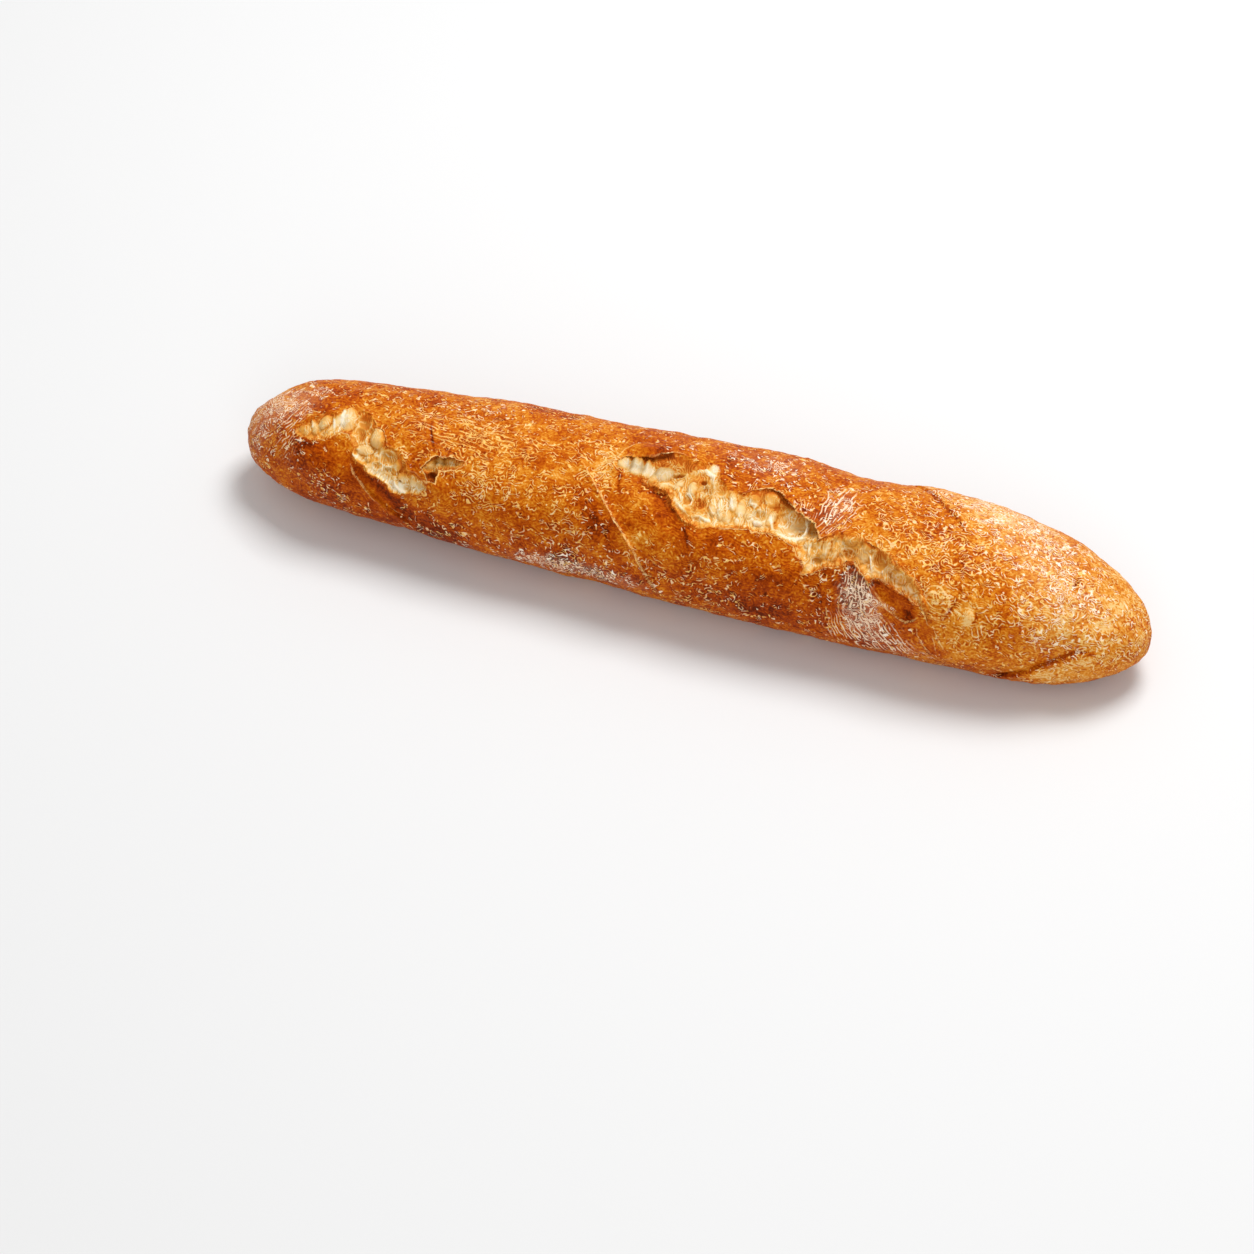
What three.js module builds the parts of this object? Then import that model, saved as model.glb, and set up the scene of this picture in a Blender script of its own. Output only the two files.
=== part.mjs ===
// A short crusty baguette lying on its flat base, with two scores that burst open in the oven.
//
// Units are millimetres, +Z is up and the loaf runs along X. The origin is on the resting surface, under
// the middle of the loaf, and the scored side faces -Y and up.
//
// The crust is laid out as a sheet with two coordinates: `along`, which is X, and `girth`, the way round
// the loaf from the widest line of its front, upwards: the crown of the loaf is a quarter turn from there.
import * as THREE from "three";

// ---------------------------------------------------------------- driving dimensions
const LENGTH = 320;
const HALF_WIDTHS = [[-110, 24.7], [-55, 27.4], [0, 29.1], [45, 29.4], [85, 29.2]]; // [along, half width]
const HEIGHT_SHARE = 0.86; // a slice's height over its width, before the base is flattened
const SLICE_POWER = 2.25; // a slice's outline is a superellipse, a little squarer than an ellipse
const HEART = 22; // height of the loaf's axis
const LEFT_END = { reach: 50, droop: 4, droopPower: 2 }; // the rounded end's length, and the sink of its tip
const RIGHT_END = { reach: 66, droop: 7, droopPower: 1.5 };
const GIRTH_RADIUS = 28; // turns girth into an angle round the axis
const BASE_BLEND = 6; // the relief fades out over this height above the flat base

// ---------------------------------------------------------------- broad swells and dips
// [along, girth, reach along, reach round, height]
const SWELLS = [
  [18, 64, 22, 16, 1.0], // the back's high places, with the dip between them
  [56, 66, 11, 14, -1.4],
  [84, 66, 12, 14, 0.9],
  [-150, 48, 7, 9, 0.4], // the left end's shoulder
  [-120, 62, 14, 14, -1.9], // the flatter back behind the left burst
  [-126, 13, 11, 9, 1.1], // the flap under the left burst
  [104, -16, 15, 11, -0.9], // where the right end lifts off the oven floor
  [26, 12, 22, 11, 0.9], // the belly under the long burst
  [-60, 30, 24, 20, 0.5],
  [118, 22, 24, 22, 0.7],
  [-15, 47, 6.5, 3, 1.2], // the blister over the long burst's left end
  [93.5, 20, 5.6, 7.5, 0.9], // and the one at its right end
  [78, 13, 6.5, 4.5, 0.9], // the flap under its right end
];
// The slow waves that a hand-rolled loaf has: [height, waves per loaf length, waves round, phase]
const WAVES = [[0.16, 3.5, 2, 0.4], [0.14, 6.0, 3, 2.1], [0.12, 9.5, 2, 4.0], [0.1, 13.0, 5, 1.2]];

// ---------------------------------------------------------------- seams in the crust
// Each seam is a crease along a path of [along, girth] points. `step` is how far the crust stands up on the
// left of the path, and it fades over `reach`. `groove` is the depth of the crease itself.
const SEAMS = {
  stretchedSkin: {
    path: [[-37, 40], [-29, 32], [-16, 16], [-8, 3], [-1, -8]],
    step: -1.1,
    groove: 0.2,
    reach: 9,
  },
  leftBurstApron: {
    path: [[-114, 19], [-111, 9], [-102, 0], [-96, -4], [-90, -9]],
    step: -1.1,
    groove: 0.2,
    reach: 6,
  },
  backRidge: { path: [[70, 75], [77, 61], [90, 48], [101, 39]], step: 0.8, groove: 0.4, reach: 8 },
  endFold: { path: [[112, -19], [121, -9], [134, 2], [144, 10]], step: -1.5, groove: 0.6, reach: 9 },
  leftBurstSeam: { path: [[-92, 45], [-86, 31], [-85, 27]], step: 0.4, groove: 0.3, reach: 5 },
};
const GROOVE_WIDTH = 1.5; // half the width of each crease
const SEAM_FADE = 8; // a seam rises to its full strength over this length at each end
const SEAM_CLEARANCE = 3; // and fades out this close to a burst

// ---------------------------------------------------------------- bursts, where the scores tore open
// Each row is a station along the burst: [along, lower edge, upper edge, lower lip, upper lip], the edges as
// girths. A lip is how far the crust stands above the crumb there; below 0 the crumb stands above the crust.
const LEFT_BURST = [
  [-137.0, 25.2, 27.0, 0.0, 0.0],
  [-131.0, 24.4, 35.4, -0.5, 0.1],
  [-124.0, 25.4, 38.0, -0.6, 0.1],
  [-119.5, 30.0, 42.0, 0.4, 0.1],
  [-114.0, 20.0, 40.4, -0.8, 0.2],
  [-108.0, 15.4, 34.6, -1.6, 0.4],
  [-103.0, 12.2, 28.6, -1.7, 0.4],
  [-97.0, 7.8, 26.2, -1.6, 0.1],
  [-92.0, 8.2, 19.2, -1.2, 0.3],
  [-87.0, 10.8, 16.4, -0.4, 0.2],
  [-84.6, 12.4, 13.4, 0.0, 0.0],
];
const SIDE_HOLE = [
  [-88.2, 21.2, 22.6, 0.6, 0.5],
  [-85.5, 17.9, 27.4, 0.7, 1.1],
  [-82.0, 23.8, 28.9, 0.4, 1.3],
  [-77.5, 25.6, 28.6, 0.4, 0.9],
  [-73.8, 27.4, 28.2, 0.2, 0.2],
];
const LONG_BURST = [
  [-24.4, 40.2, 41.8, 0.1, 0.2],
  [-19.0, 38.1, 44.2, -0.3, 1.6],
  [-14.0, 36.8, 44.6, -1.0, 2.2],
  [-9.5, 36.2, 47.4, -1.7, 1.2],
  [-3.0, 31.8, 48.0, -1.8, 0.3],
  [0.5, 27.9, 47.0, -1.3, 0.2],
  [6.5, 24.6, 48.0, -0.6, 0.1],
  [12.0, 24.7, 43.0, 0.0, 0.1],
  [20.0, 26.5, 40.0, 0.4, 0.2],
  [29.0, 27.2, 43.3, 0.6, 0.9],
  [35.0, 27.6, 41.0, 0.8, 1.8],
  [40.5, 25.9, 37.0, 0.5, 2.5],
  [45.7, 16.8, 35.3, 0.2, 2.4],
  [50.3, 17.8, 30.6, 0.8, 0.5],
  [56.5, 21.2, 34.4, 2.3, 0.1],
  [62.0, 24.4, 34.2, 3.3, 0.1],
  [66.0, 20.5, 32.6, 1.6, 0.4],
  [69.3, 17.8, 31.7, 1.0, 0.3],
  [73.0, 20.5, 30.6, 2.6, 0.1],
  [79.0, 18.0, 26.8, 2.4, 0.1],
  [84.5, 15.6, 22.6, 1.3, 0.1],
  [89.8, 9.8, 11.2, 0.4, 0.0],
];
const BURSTS = [
  { stations: LEFT_BURST, sink: 1.3 },
  { stations: SIDE_HOLE, sink: 1.8 },
  { stations: LONG_BURST, sink: 1.6 },
];
const CRUST_SHARE = 0.5; // how much of a lip is crust lifted up; the rest is crumb pushed down
const LIP_REACH = 4.5; // how far from the edge the crust lifts
const SINK_REACH = 4; // how far inside the edge the crumb reaches its full depth
const TEAR_WIDTH = 1; // width of the torn wall between crust and crumb
const LIP_LEAN = 0.35; // how far a lip leans over the crumb, as a share of its height
const LEAN_REACH = 2; // how far from the edge it leans

// ---------------------------------------------------------------- cells of the crumb
// The large air cells: [along, girth, half length, half width, depth]. An open one is a shallow bowl, and
// one that is still closed bulges, with a depth below 0.
const CELLS = [
  [-127, 32.5, 2.6, 4.2, -1.0],
  [-118.6, 36.2, 3.0, 5.6, -1.1],
  [-112.8, 33, 2.6, 5.5, 1.0],
  [-106.8, 30, 3.0, 4.5, -1.5],
  [-101.4, 21.5, 3.4, 3.8, 1.0],
  [-93, 12, 3.0, 3.2, 0.8],
  [-80.4, 26.8, 3.2, 2.2, 1.2],
  [-18, 41.2, 3.0, 3.4, -1.0],
  [-7.8, 41.3, 3.6, 3.6, -1.2],
  [5, 40.5, 3.2, 3.4, 1.3],
  [16, 34, 4.0, 4.6, -0.5],
  [27.4, 34, 3.2, 3.2, 1.0],
  [38.2, 32.6, 6.2, 4.9, 2.4],
  [45.8, 32.2, 2.6, 3.4, 1.8],
  [51, 24, 3.4, 4.6, 0.7],
  [58.4, 27.4, 3.2, 3.4, 0.8],
  [64.4, 28.4, 2.8, 4.2, -0.6],
  [70.6, 27, 3.2, 4.2, 1.0],
  [78, 22.8, 3.4, 3.0, -0.7],
];

// ---------------------------------------------------------------- mesh
const RINGS = 120;
const SPOKES = 44;
const CLOSE_ALONG = [[-140, -72], [-27, 96]]; // the bursts get closer rings
const CLOSE_GIRTH = [4, 50]; // and closer spokes
const CLOSENESS = 2.2;
const SNAP = 1.1; // a vertex this near a burst's edge moves onto it
const SNAP_SHARE = 0.85; // most of the way
const MOST_CROWDING = 8; // how much closer the rings get, at most, where the ends round off
const SAMPLES = 4000; // steps in which the lines of the mesh are shared out

const CRUST = new THREE.MeshStandardMaterial({ color: 0xc9772f, roughness: 0.72, metalness: 0 });

// ---------------------------------------------------------------- small maths
const clamp01 = (t) => Math.min(1, Math.max(0, t));
const smooth = (t) => clamp01(t) ** 2 * (3 - 2 * clamp01(t));
const bell = (t) => Math.exp(-t * t);

/** The value at `x` of a table of [x, value] rows, with an easy curve between them. */
function eased(table, x) {
  const next = table.findIndex(([at]) => at > x);
  if (next === 0) return table[0][1];
  if (next < 0) return table[table.length - 1][1];
  const [[x0, y0], [x1, y1]] = [table[next - 1], table[next]];
  return y0 + (y1 - y0) * smooth((x - x0) / (x1 - x0));
}

/** `count` + 1 positions from `from` to `to`, closer together where `density` is higher. */
function spreadLines(from, to, count, density) {
  const step = (to - from) / SAMPLES;
  const total = [0];
  for (let i = 0; i < SAMPLES; i++) total.push(total[i] + density(from + (i + 0.5) * step));
  const lines = [];
  for (let i = 0, line = 0; line <= count; line++) {
    const wanted = (total[SAMPLES] * line) / count;
    while (i < SAMPLES && total[i + 1] < wanted) i++;
    const share = i < SAMPLES ? (wanted - total[i]) / (total[i + 1] - total[i]) : 0;
    lines.push(from + (i + share) * step);
  }
  return lines;
}

// ---------------------------------------------------------------- the plain loaf
/** How far through each rounded end a place is: 1 at the tip, 0 past the end's reach. */
function endShares(along) {
  const left = clamp01(1 - (along + LENGTH / 2) / LEFT_END.reach);
  const right = clamp01(1 - (LENGTH / 2 - along) / RIGHT_END.reach);
  return { left, right };
}

function halfWidth(along) {
  const { left, right } = endShares(along);
  return eased(HALF_WIDTHS, along) * Math.sqrt((1 - left ** 2) * (1 - right ** 2));
}

function axisHeight(along) {
  const { left, right } = endShares(along);
  const leftSink = LEFT_END.droop * left ** LEFT_END.droopPower;
  const rightSink = RIGHT_END.droop * right ** RIGHT_END.droopPower;
  return HEART - leftSink - rightSink;
}

/** The plain crust, before relief. It runs below z = 0 where the base will be flattened. */
function skin(along, girth) {
  const half = halfWidth(along);
  const angle = girth / GIRTH_RADIUS;
  const rounded = (c) => Math.sign(c) * Math.abs(c) ** (2 / SLICE_POWER);
  const y = -half * rounded(Math.cos(angle));
  const z = axisHeight(along) + half * HEIGHT_SHARE * rounded(Math.sin(angle));
  return new THREE.Vector3(along, y, z);
}

/** Which way is out of the loaf at a point of its skin. */
function outward(point) {
  const reach = LENGTH / 2;
  const spine = THREE.MathUtils.clamp(point.x, LEFT_END.reach / 2 - reach, reach - RIGHT_END.reach / 2);
  return point.clone().sub(new THREE.Vector3(spine, 0, axisHeight(point.x))).normalize();
}

// ---------------------------------------------------------------- relief
function swellsAt(along, girth) {
  const swell = ([x, g, rx, rg, height]) => height * bell((along - x) / rx) * bell((girth - g) / rg);
  const wave = ([height, turns, round, phase]) =>
    height * Math.sin((2 * Math.PI * turns * along) / LENGTH + (round * girth) / GIRTH_RADIUS + phase);
  return SWELLS.reduce((sum, s) => sum + swell(s), 0) + WAVES.reduce((sum, w) => sum + wave(w), 0);
}

/**
 * The place on a chain of [along, girth, ...] points nearest to a point: its distance, the side it is on,
 * its position with the values beyond the first two, and how far along the chain it lies.
 */
function nearestOn(chain, along, girth) {
  let best = { distance: Infinity };
  let start = 0;
  for (let i = 0; i + 1 < chain.length; i++) {
    const [a, b] = [chain[i], chain[i + 1]];
    const [dx, dg] = [b[0] - a[0], b[1] - a[1]];
    const span = Math.hypot(dx, dg);
    const share = clamp01(((along - a[0]) * dx + (girth - a[1]) * dg) / span ** 2);
    const at = a.map((value, k) => value + share * (b[k] - value));
    const distance = Math.hypot(along - at[0], girth - at[1]);
    if (distance < best.distance) {
      const side = Math.sign(dx * (girth - a[1]) - dg * (along - a[0]));
      best = { distance, side, at, run: start + share * span };
    }
    start += span;
  }
  return { ...best, length: start };
}

function seamsAt(along, girth) {
  const heights = Object.values(SEAMS).map(({ path, step, groove, reach }) => {
    const { distance, side, run, length } = nearestOn(path, along, girth);
    const strength = smooth(Math.min(run, length - run) / Math.min(SEAM_FADE, length / 2));
    const shelf = side > 0 ? step * bell(distance / reach) : 0;
    return strength * (shelf - groove * bell(distance / GROOVE_WIDTH));
  });
  return heights.reduce((sum, height) => sum + height, 0);
}

/** A burst's lower and upper edge as chains of [along, girth, lip] points, and the outline of both. */
function edgesOf({ stations, sink }) {
  const lower = stations.map(([x, low, , lip]) => [x, low, lip]);
  const upper = stations.map(([x, , high, , lip]) => [x, high, lip]);
  return { lower, upper, outline: [...lower, ...[...upper].reverse(), lower[0]], sink };
}
const EDGES = BURSTS.map(edgesOf);

function isInside(outline, along, girth) {
  let inside = false;
  for (let i = 0, j = outline.length - 1; i < outline.length; j = i++) {
    const [xi, gi] = outline[i];
    const [xj, gj] = outline[j];
    if (gi > girth !== gj > girth && along < ((xj - xi) * (girth - gi)) / (gj - gi) + xi) inside = !inside;
  }
  return inside;
}

/**
 * The burst nearest to a place: how deep inside it the place is (below 0 outside), its lip, blended from
 * the lower edge to the upper, and the nearest place on its outline.
 */
function burstAt(along, girth) {
  const found = EDGES.map(({ lower, upper, outline, sink }) => {
    const near = nearestOn(outline, along, girth);
    const depth = near.distance * (isInside(outline, along, girth) ? 1 : -1);
    const below = nearestOn(lower, along, girth);
    const above = nearestOn(upper, along, girth);
    const upward = smooth(below.distance / (below.distance + above.distance));
    const lip = below.at[2] + upward * (above.at[2] - below.at[2]);
    return { depth, lip, edge: near.at, sink };
  });
  return found.reduce((best, one) => (one.depth > best.depth ? one : best));
}

function cellsAt(along, girth) {
  const heights = CELLS.map(([x, g, rx, rg, depth]) => {
    const out = ((along - x) / rx) ** 2 + ((girth - g) / rg) ** 2;
    return -depth * Math.max(0, 1 - out);
  });
  return heights.reduce((sum, height) => sum + height, 0);
}

/** Height of the crust or crumb over the plain skin. */
function reliefAt(along, girth) {
  const { depth, lip, sink } = burstAt(along, girth);
  const crust = lip * CRUST_SHARE;
  const base = swellsAt(along, girth);
  if (depth <= 0) {
    return base + seamsAt(along, girth) * smooth(-depth / SEAM_CLEARANCE) + crust * bell(depth / LIP_REACH);
  }
  const torn = smooth(depth / TEAR_WIDTH);
  const crumb = -lip * (1 - CRUST_SHARE) - sink * smooth(depth / SINK_REACH) + cellsAt(along, girth);
  return base + crust * (1 - torn) + crumb * torn;
}

// ---------------------------------------------------------------- building the mesh
/** Moves a place that is close to a burst's edge onto it, so that the torn edge is a clean line. */
function snapped(along, girth) {
  const { depth, edge } = burstAt(along, girth);
  if (Math.abs(depth) > SNAP) return [along, girth];
  return [along + (edge[0] - along) * SNAP_SHARE, girth + (edge[1] - girth) * SNAP_SHARE];
}

/** The finished surface: plain skin, relief, lips that lean over the crumb, and the flat base. */
function surface(along, girth) {
  const [x, g] = snapped(along, girth);
  const { depth, lip, edge } = burstAt(x, g);
  const lean = depth > 0 ? 0 : Math.max(0, lip) * LIP_LEAN * bell(depth / LEAN_REACH);
  const away = Math.hypot(edge[0] - x, edge[1] - g) || 1;
  const point = skin(x + ((edge[0] - x) / away) * lean, g + ((edge[1] - g) / away) * lean);
  const raised = reliefAt(x, g) * smooth(point.z / BASE_BLEND);
  const made = point.clone().addScaledVector(outward(point), raised);
  made.z = Math.max(0, made.z);
  return made;
}

function alongDensity(along) {
  const close = CLOSE_ALONG.some(([from, to]) => along > from && along < to) ? CLOSENESS : 1;
  const slope = (halfWidth(along + 0.01) - halfWidth(along - 0.01)) / 0.02;
  return close * Math.min(MOST_CROWDING, Math.hypot(1, slope));
}

function loafGeometry() {
  const half = LENGTH / 2;
  const turn = 2 * Math.PI * GIRTH_RADIUS;
  const rings = spreadLines(-half, half, RINGS, alongDensity).slice(1, -1);
  const isClose = (girth) => girth > CLOSE_GIRTH[0] && girth < CLOSE_GIRTH[1];
  const girthDensity = (girth) => (isClose(girth) ? CLOSENESS : 1);
  const spokes = spreadLines(-turn / 4, (3 * turn) / 4, SPOKES, girthDensity).slice(0, -1);

  const points = rings.flatMap((along) => spokes.map((girth) => surface(along, girth)));
  const leftTip = points.push(skin(-half, 0)) - 1;
  const rightTip = points.push(skin(half, 0)) - 1;

  const faces = [];
  const corner = (ring, spoke) => ring * spokes.length + (spoke % spokes.length);
  const last = rings.length - 1;
  for (let s = 0; s < spokes.length; s++) {
    faces.push([leftTip, corner(0, s), corner(0, s + 1)], [rightTip, corner(last, s + 1), corner(last, s)]);
    for (let r = 0; r < last; r++) {
      faces.push([corner(r, s), corner(r + 1, s), corner(r + 1, s + 1)]);
      faces.push([corner(r, s), corner(r + 1, s + 1), corner(r, s + 1)]);
    }
  }
  const geometry = new THREE.BufferGeometry().setFromPoints(points);
  geometry.setIndex(faces.flat());
  geometry.computeVertexNormals();
  return geometry;
}

const loaf = new THREE.Mesh(loafGeometry(), CRUST);
loaf.name = "loaf";

const baguette = new THREE.Group();
baguette.add(loaf);

export default baguette;
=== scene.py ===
"""A short crusty baguette with two scores that burst open in the oven, dressed and lit.

The loaf is one piece of bread, so it is one fine mesh with one baked finish. Its skin is laid out as a
sheet with two coordinates, both in millimetres: ``along`` is X, and ``girth`` is the way round the loaf
from the widest line of its front, upwards, so that the crown of the loaf is a quarter turn from there.
Everything on the skin, such as a burst, a seam or a dusting of flour, is placed by those two numbers.
"""
from __future__ import annotations

import logging
import math
from dataclasses import dataclass, field
from enum import Enum

import bpy
import numpy as np
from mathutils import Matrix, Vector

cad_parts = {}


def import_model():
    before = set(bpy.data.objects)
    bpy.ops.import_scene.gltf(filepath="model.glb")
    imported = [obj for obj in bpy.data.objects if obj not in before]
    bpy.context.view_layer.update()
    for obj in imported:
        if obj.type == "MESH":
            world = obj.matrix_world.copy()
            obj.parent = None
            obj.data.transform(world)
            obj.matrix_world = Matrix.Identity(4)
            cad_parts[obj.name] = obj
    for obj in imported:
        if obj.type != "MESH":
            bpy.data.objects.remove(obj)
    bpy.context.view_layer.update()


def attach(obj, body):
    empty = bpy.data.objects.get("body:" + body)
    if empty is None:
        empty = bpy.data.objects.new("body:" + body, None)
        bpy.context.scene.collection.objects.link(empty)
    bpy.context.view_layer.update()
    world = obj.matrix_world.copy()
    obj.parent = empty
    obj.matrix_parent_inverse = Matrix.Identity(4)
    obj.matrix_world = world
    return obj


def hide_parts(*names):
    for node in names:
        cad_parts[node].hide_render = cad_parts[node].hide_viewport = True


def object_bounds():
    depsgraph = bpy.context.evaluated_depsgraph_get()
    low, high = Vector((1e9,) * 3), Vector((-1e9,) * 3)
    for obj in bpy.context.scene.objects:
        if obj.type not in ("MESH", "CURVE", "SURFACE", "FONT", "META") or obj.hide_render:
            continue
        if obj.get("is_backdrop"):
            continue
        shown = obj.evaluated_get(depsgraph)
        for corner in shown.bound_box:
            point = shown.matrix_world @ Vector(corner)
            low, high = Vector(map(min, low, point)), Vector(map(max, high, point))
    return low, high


LOG = logging.getLogger("baguette")
MM = 0.001
BODY = "root"
LOAF_NODE = "loaf"
BAKE_UV = "OFBake"


# ------------------------------------------------------------------ small maths
def smooth(share: np.ndarray) -> np.ndarray:
    """An S curve from 0 to 1 as share goes from 0 to 1."""
    t = np.clip(share, 0.0, 1.0)
    return t * t * (3.0 - 2.0 * t)


def bell(share: np.ndarray) -> np.ndarray:
    """A bell curve: 1 at 0, and near 0 beyond 2."""
    return np.exp(-np.square(share))


def each(kind: type, *rows: tuple) -> tuple:
    """Makes one thing of a kind from each row of its values."""
    return tuple(kind(*row) for row in rows)


@dataclass(frozen=True)
class Band:
    """A soft band along a line: how strong it is on the line, and its width in millimetres."""

    amount: float
    width: float

    def at(self, distance: np.ndarray) -> np.ndarray:
        """The band's strength at some distances from the line."""
        return self.amount * bell(distance / self.width)


class Ripples:
    """A smooth random field in space, made of many plane waves of about one length."""

    WAVES = 26
    # The shortest and the longest wave, as shares of the usual length.
    SPAN = (0.7, 1.5)

    def __init__(self, wavelength: float, seed: int, height: float = 1.0) -> None:
        """Draws the waves.

        Args:
            wavelength: the usual distance between crests, in millimetres.
            seed: the seed of the draw.
            height: how far the field spreads round 0.
        """
        draw = np.random.default_rng(seed)
        heading = draw.normal(size=(self.WAVES, 3))
        heading /= np.linalg.norm(heading, axis=1, keepdims=True)
        lengths = wavelength * draw.uniform(*self.SPAN, self.WAVES)
        self.waves = heading * (2.0 * math.pi / lengths)[:, None]
        self.phases = draw.uniform(0.0, 2.0 * math.pi, self.WAVES)
        self.height = height

    def at(self, points: np.ndarray) -> np.ndarray:
        """The field at some points, given in millimetres with one row for each."""
        turns = points @ self.waves.T + self.phases
        return self.height * (np.sin(turns).sum(axis=1) * math.sqrt(2.0 / self.WAVES))


# ------------------------------------------------------------------ the plain loaf
@dataclass(frozen=True)
class Places:
    """Many places on the sheet: how far along the loaf and how far round it each one lies."""

    along: np.ndarray
    girth: np.ndarray

    def only(self, chosen: np.ndarray) -> Places:
        """The chosen ones of the places."""
        return Places(self.along[chosen], self.girth[chosen])

    def moved(self, along: np.ndarray, girth: np.ndarray) -> Places:
        """The places moved by some distances along the loaf and round it."""
        return Places(self.along + along, self.girth + girth)

    def zeros(self, count: int) -> tuple[np.ndarray, ...]:
        """Some arrays with a 0 for each place."""
        return tuple(np.zeros_like(self.along) for _ in range(count))


@dataclass(frozen=True)
class RoundedEnd:
    """One end of the loaf: its length, and how far and how quickly its tip sinks."""

    reach: float
    droop: float
    droop_power: float

    def share(self, from_tip: np.ndarray) -> np.ndarray:
        """How far through the end a place is, from 0 at its root to 1 at the tip."""
        return np.clip(1.0 - from_tip / self.reach, 0.0, 1.0)

    def drop(self, share: np.ndarray) -> np.ndarray:
        """How far the loaf's axis has sunk at a share of the way through the end."""
        return self.droop * share ** self.droop_power


@dataclass(frozen=True)
class LoafForm:
    """The loaf's plain form, without relief. All sizes are in millimetres."""

    length: float = 320.0
    half_widths: tuple[tuple[float, float], ...] = (
        (-110, 24.7), (-55, 27.4), (0, 29.1), (45, 29.4), (85, 29.2))
    height_share: float = 0.86
    slice_power: float = 2.25
    heart: float = 22.0
    left: RoundedEnd = RoundedEnd(50.0, 4.0, 2.0)
    right: RoundedEnd = RoundedEnd(66.0, 7.0, 1.5)
    girth_radius: float = 28.0
    base_blend: float = 6.0

    @property
    def turn(self) -> float:
        """The girth of one full turn round the loaf."""
        return 2.0 * math.pi * self.girth_radius

    def end_shares(self, along: np.ndarray) -> tuple[np.ndarray, np.ndarray]:
        """How far through the left and right ends a place is, from 0 to 1 at the tip."""
        return self.left.share(along + self.length / 2.0), self.right.share(self.length / 2.0 - along)

    def half_width(self, along: np.ndarray) -> np.ndarray:
        """Works out half the loaf's width.

        Args:
            along: positions along the loaf.

        Returns:
            Half the width at each position, down to 0 at the tips.
        """
        left, right = self.end_shares(along)
        width = np.full_like(along, self.half_widths[0][1], dtype=float)
        for (x0, w0), (x1, w1) in zip(self.half_widths, self.half_widths[1:]):
            width += (w1 - w0) * smooth((along - x0) / (x1 - x0))
        return width * np.sqrt((1.0 - left ** 2) * (1.0 - right ** 2))

    def axis_height(self, along: np.ndarray) -> np.ndarray:
        """Height of the loaf's axis over the surface that it lies on."""
        left, right = self.end_shares(along)
        return self.heart - self.left.drop(left) - self.right.drop(right)

    def skin(self, places: Places) -> np.ndarray:
        """Finds places on the plain skin, below z = 0 where the base will be flattened.

        Args:
            places: the places on the sheet.

        Returns:
            One row of x, y and z for each place.
        """
        half = self.half_width(places.along)
        angle = places.girth / self.girth_radius
        cos, sin = np.cos(angle), np.sin(angle)
        power = 2.0 / self.slice_power
        y = -half * np.sign(cos) * np.abs(cos) ** power
        rise = half * self.height_share * np.sign(sin) * np.abs(sin) ** power
        return np.stack([places.along, y, self.axis_height(places.along) + rise], axis=1)

    def outward(self, points: np.ndarray) -> np.ndarray:
        """Finds the way out of the loaf.

        Args:
            points: points on the plain skin.

        Returns:
            The unit direction out of the loaf at each point.
        """
        half = self.length / 2.0
        spine = np.zeros_like(points)
        spine[:, 0] = np.clip(points[:, 0], self.left.reach / 2 - half, half - self.right.reach / 2)
        spine[:, 2] = self.axis_height(points[:, 0])
        away = points - spine
        return away / np.linalg.norm(away, axis=1, keepdims=True)


# ------------------------------------------------------------------ things laid on the skin
class Reading:
    """A record of arrays, each with one value for each place."""

    def take(self, other: Reading, chosen: np.ndarray) -> None:
        """Takes over another record's values at the chosen places."""
        for name, values in vars(other).items():
            setattr(self, name, np.where(chosen, values, getattr(self, name)))


@dataclass(frozen=True)
class Oval:
    """An oval patch of the sheet. Its tilt turns it, in degrees, anticlockwise on the sheet."""

    along: float
    girth: float
    half_along: float
    half_round: float
    amount: float
    tilt: float = 0.0

    def spread(self, places: Places) -> np.ndarray:
        """Works out how far places are from the oval's middle.

        Args:
            places: the places on the sheet.

        Returns:
            The squared distance of each place from the middle, 1 on the oval's rim.
        """
        cos, sin = math.cos(math.radians(self.tilt)), math.sin(math.radians(self.tilt))
        dx, dg = places.along - self.along, places.girth - self.girth
        u = (dx * cos + dg * sin) / self.half_along
        v = (dg * cos - dx * sin) / self.half_round
        return u * u + v * v


class Swell(Oval):
    """A soft round rise or dip, or a soft round patch of a finish."""

    def at(self, places: Places) -> np.ndarray:
        """The swell's amount at each place."""
        return self.amount * np.exp(-self.spread(places))


@dataclass(frozen=True)
class Cell(Oval):
    """One air cell of the crumb: an open bowl, or a round pillow where its amount is below 0.

    Its amount is its depth, and its shade is how much darker its bottom is painted than the crumb, from 0 to
    1: painted shade in the hollow.
    """

    shade: float = 0.3


def total(swells: tuple[Swell, ...], places: Places) -> np.ndarray:
    """Adds swells up.

    Args:
        swells: the swells.
        places: the places on the sheet.

    Returns:
        Their sum at each place.
    """
    result = np.zeros_like(places.along)
    for swell in swells:
        result += swell.at(places)
    return result


@dataclass
class Nearest(Reading):
    """The nearest point of a chain to each place.

    Its side is +1 where the place lies on the left of the chain's direction and -1 on the right, its
    value is the one that the chain carries there, and its run is how far along the chain it lies.
    """

    distance: np.ndarray
    side: np.ndarray
    along: np.ndarray
    girth: np.ndarray
    value: np.ndarray
    run: np.ndarray


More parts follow.
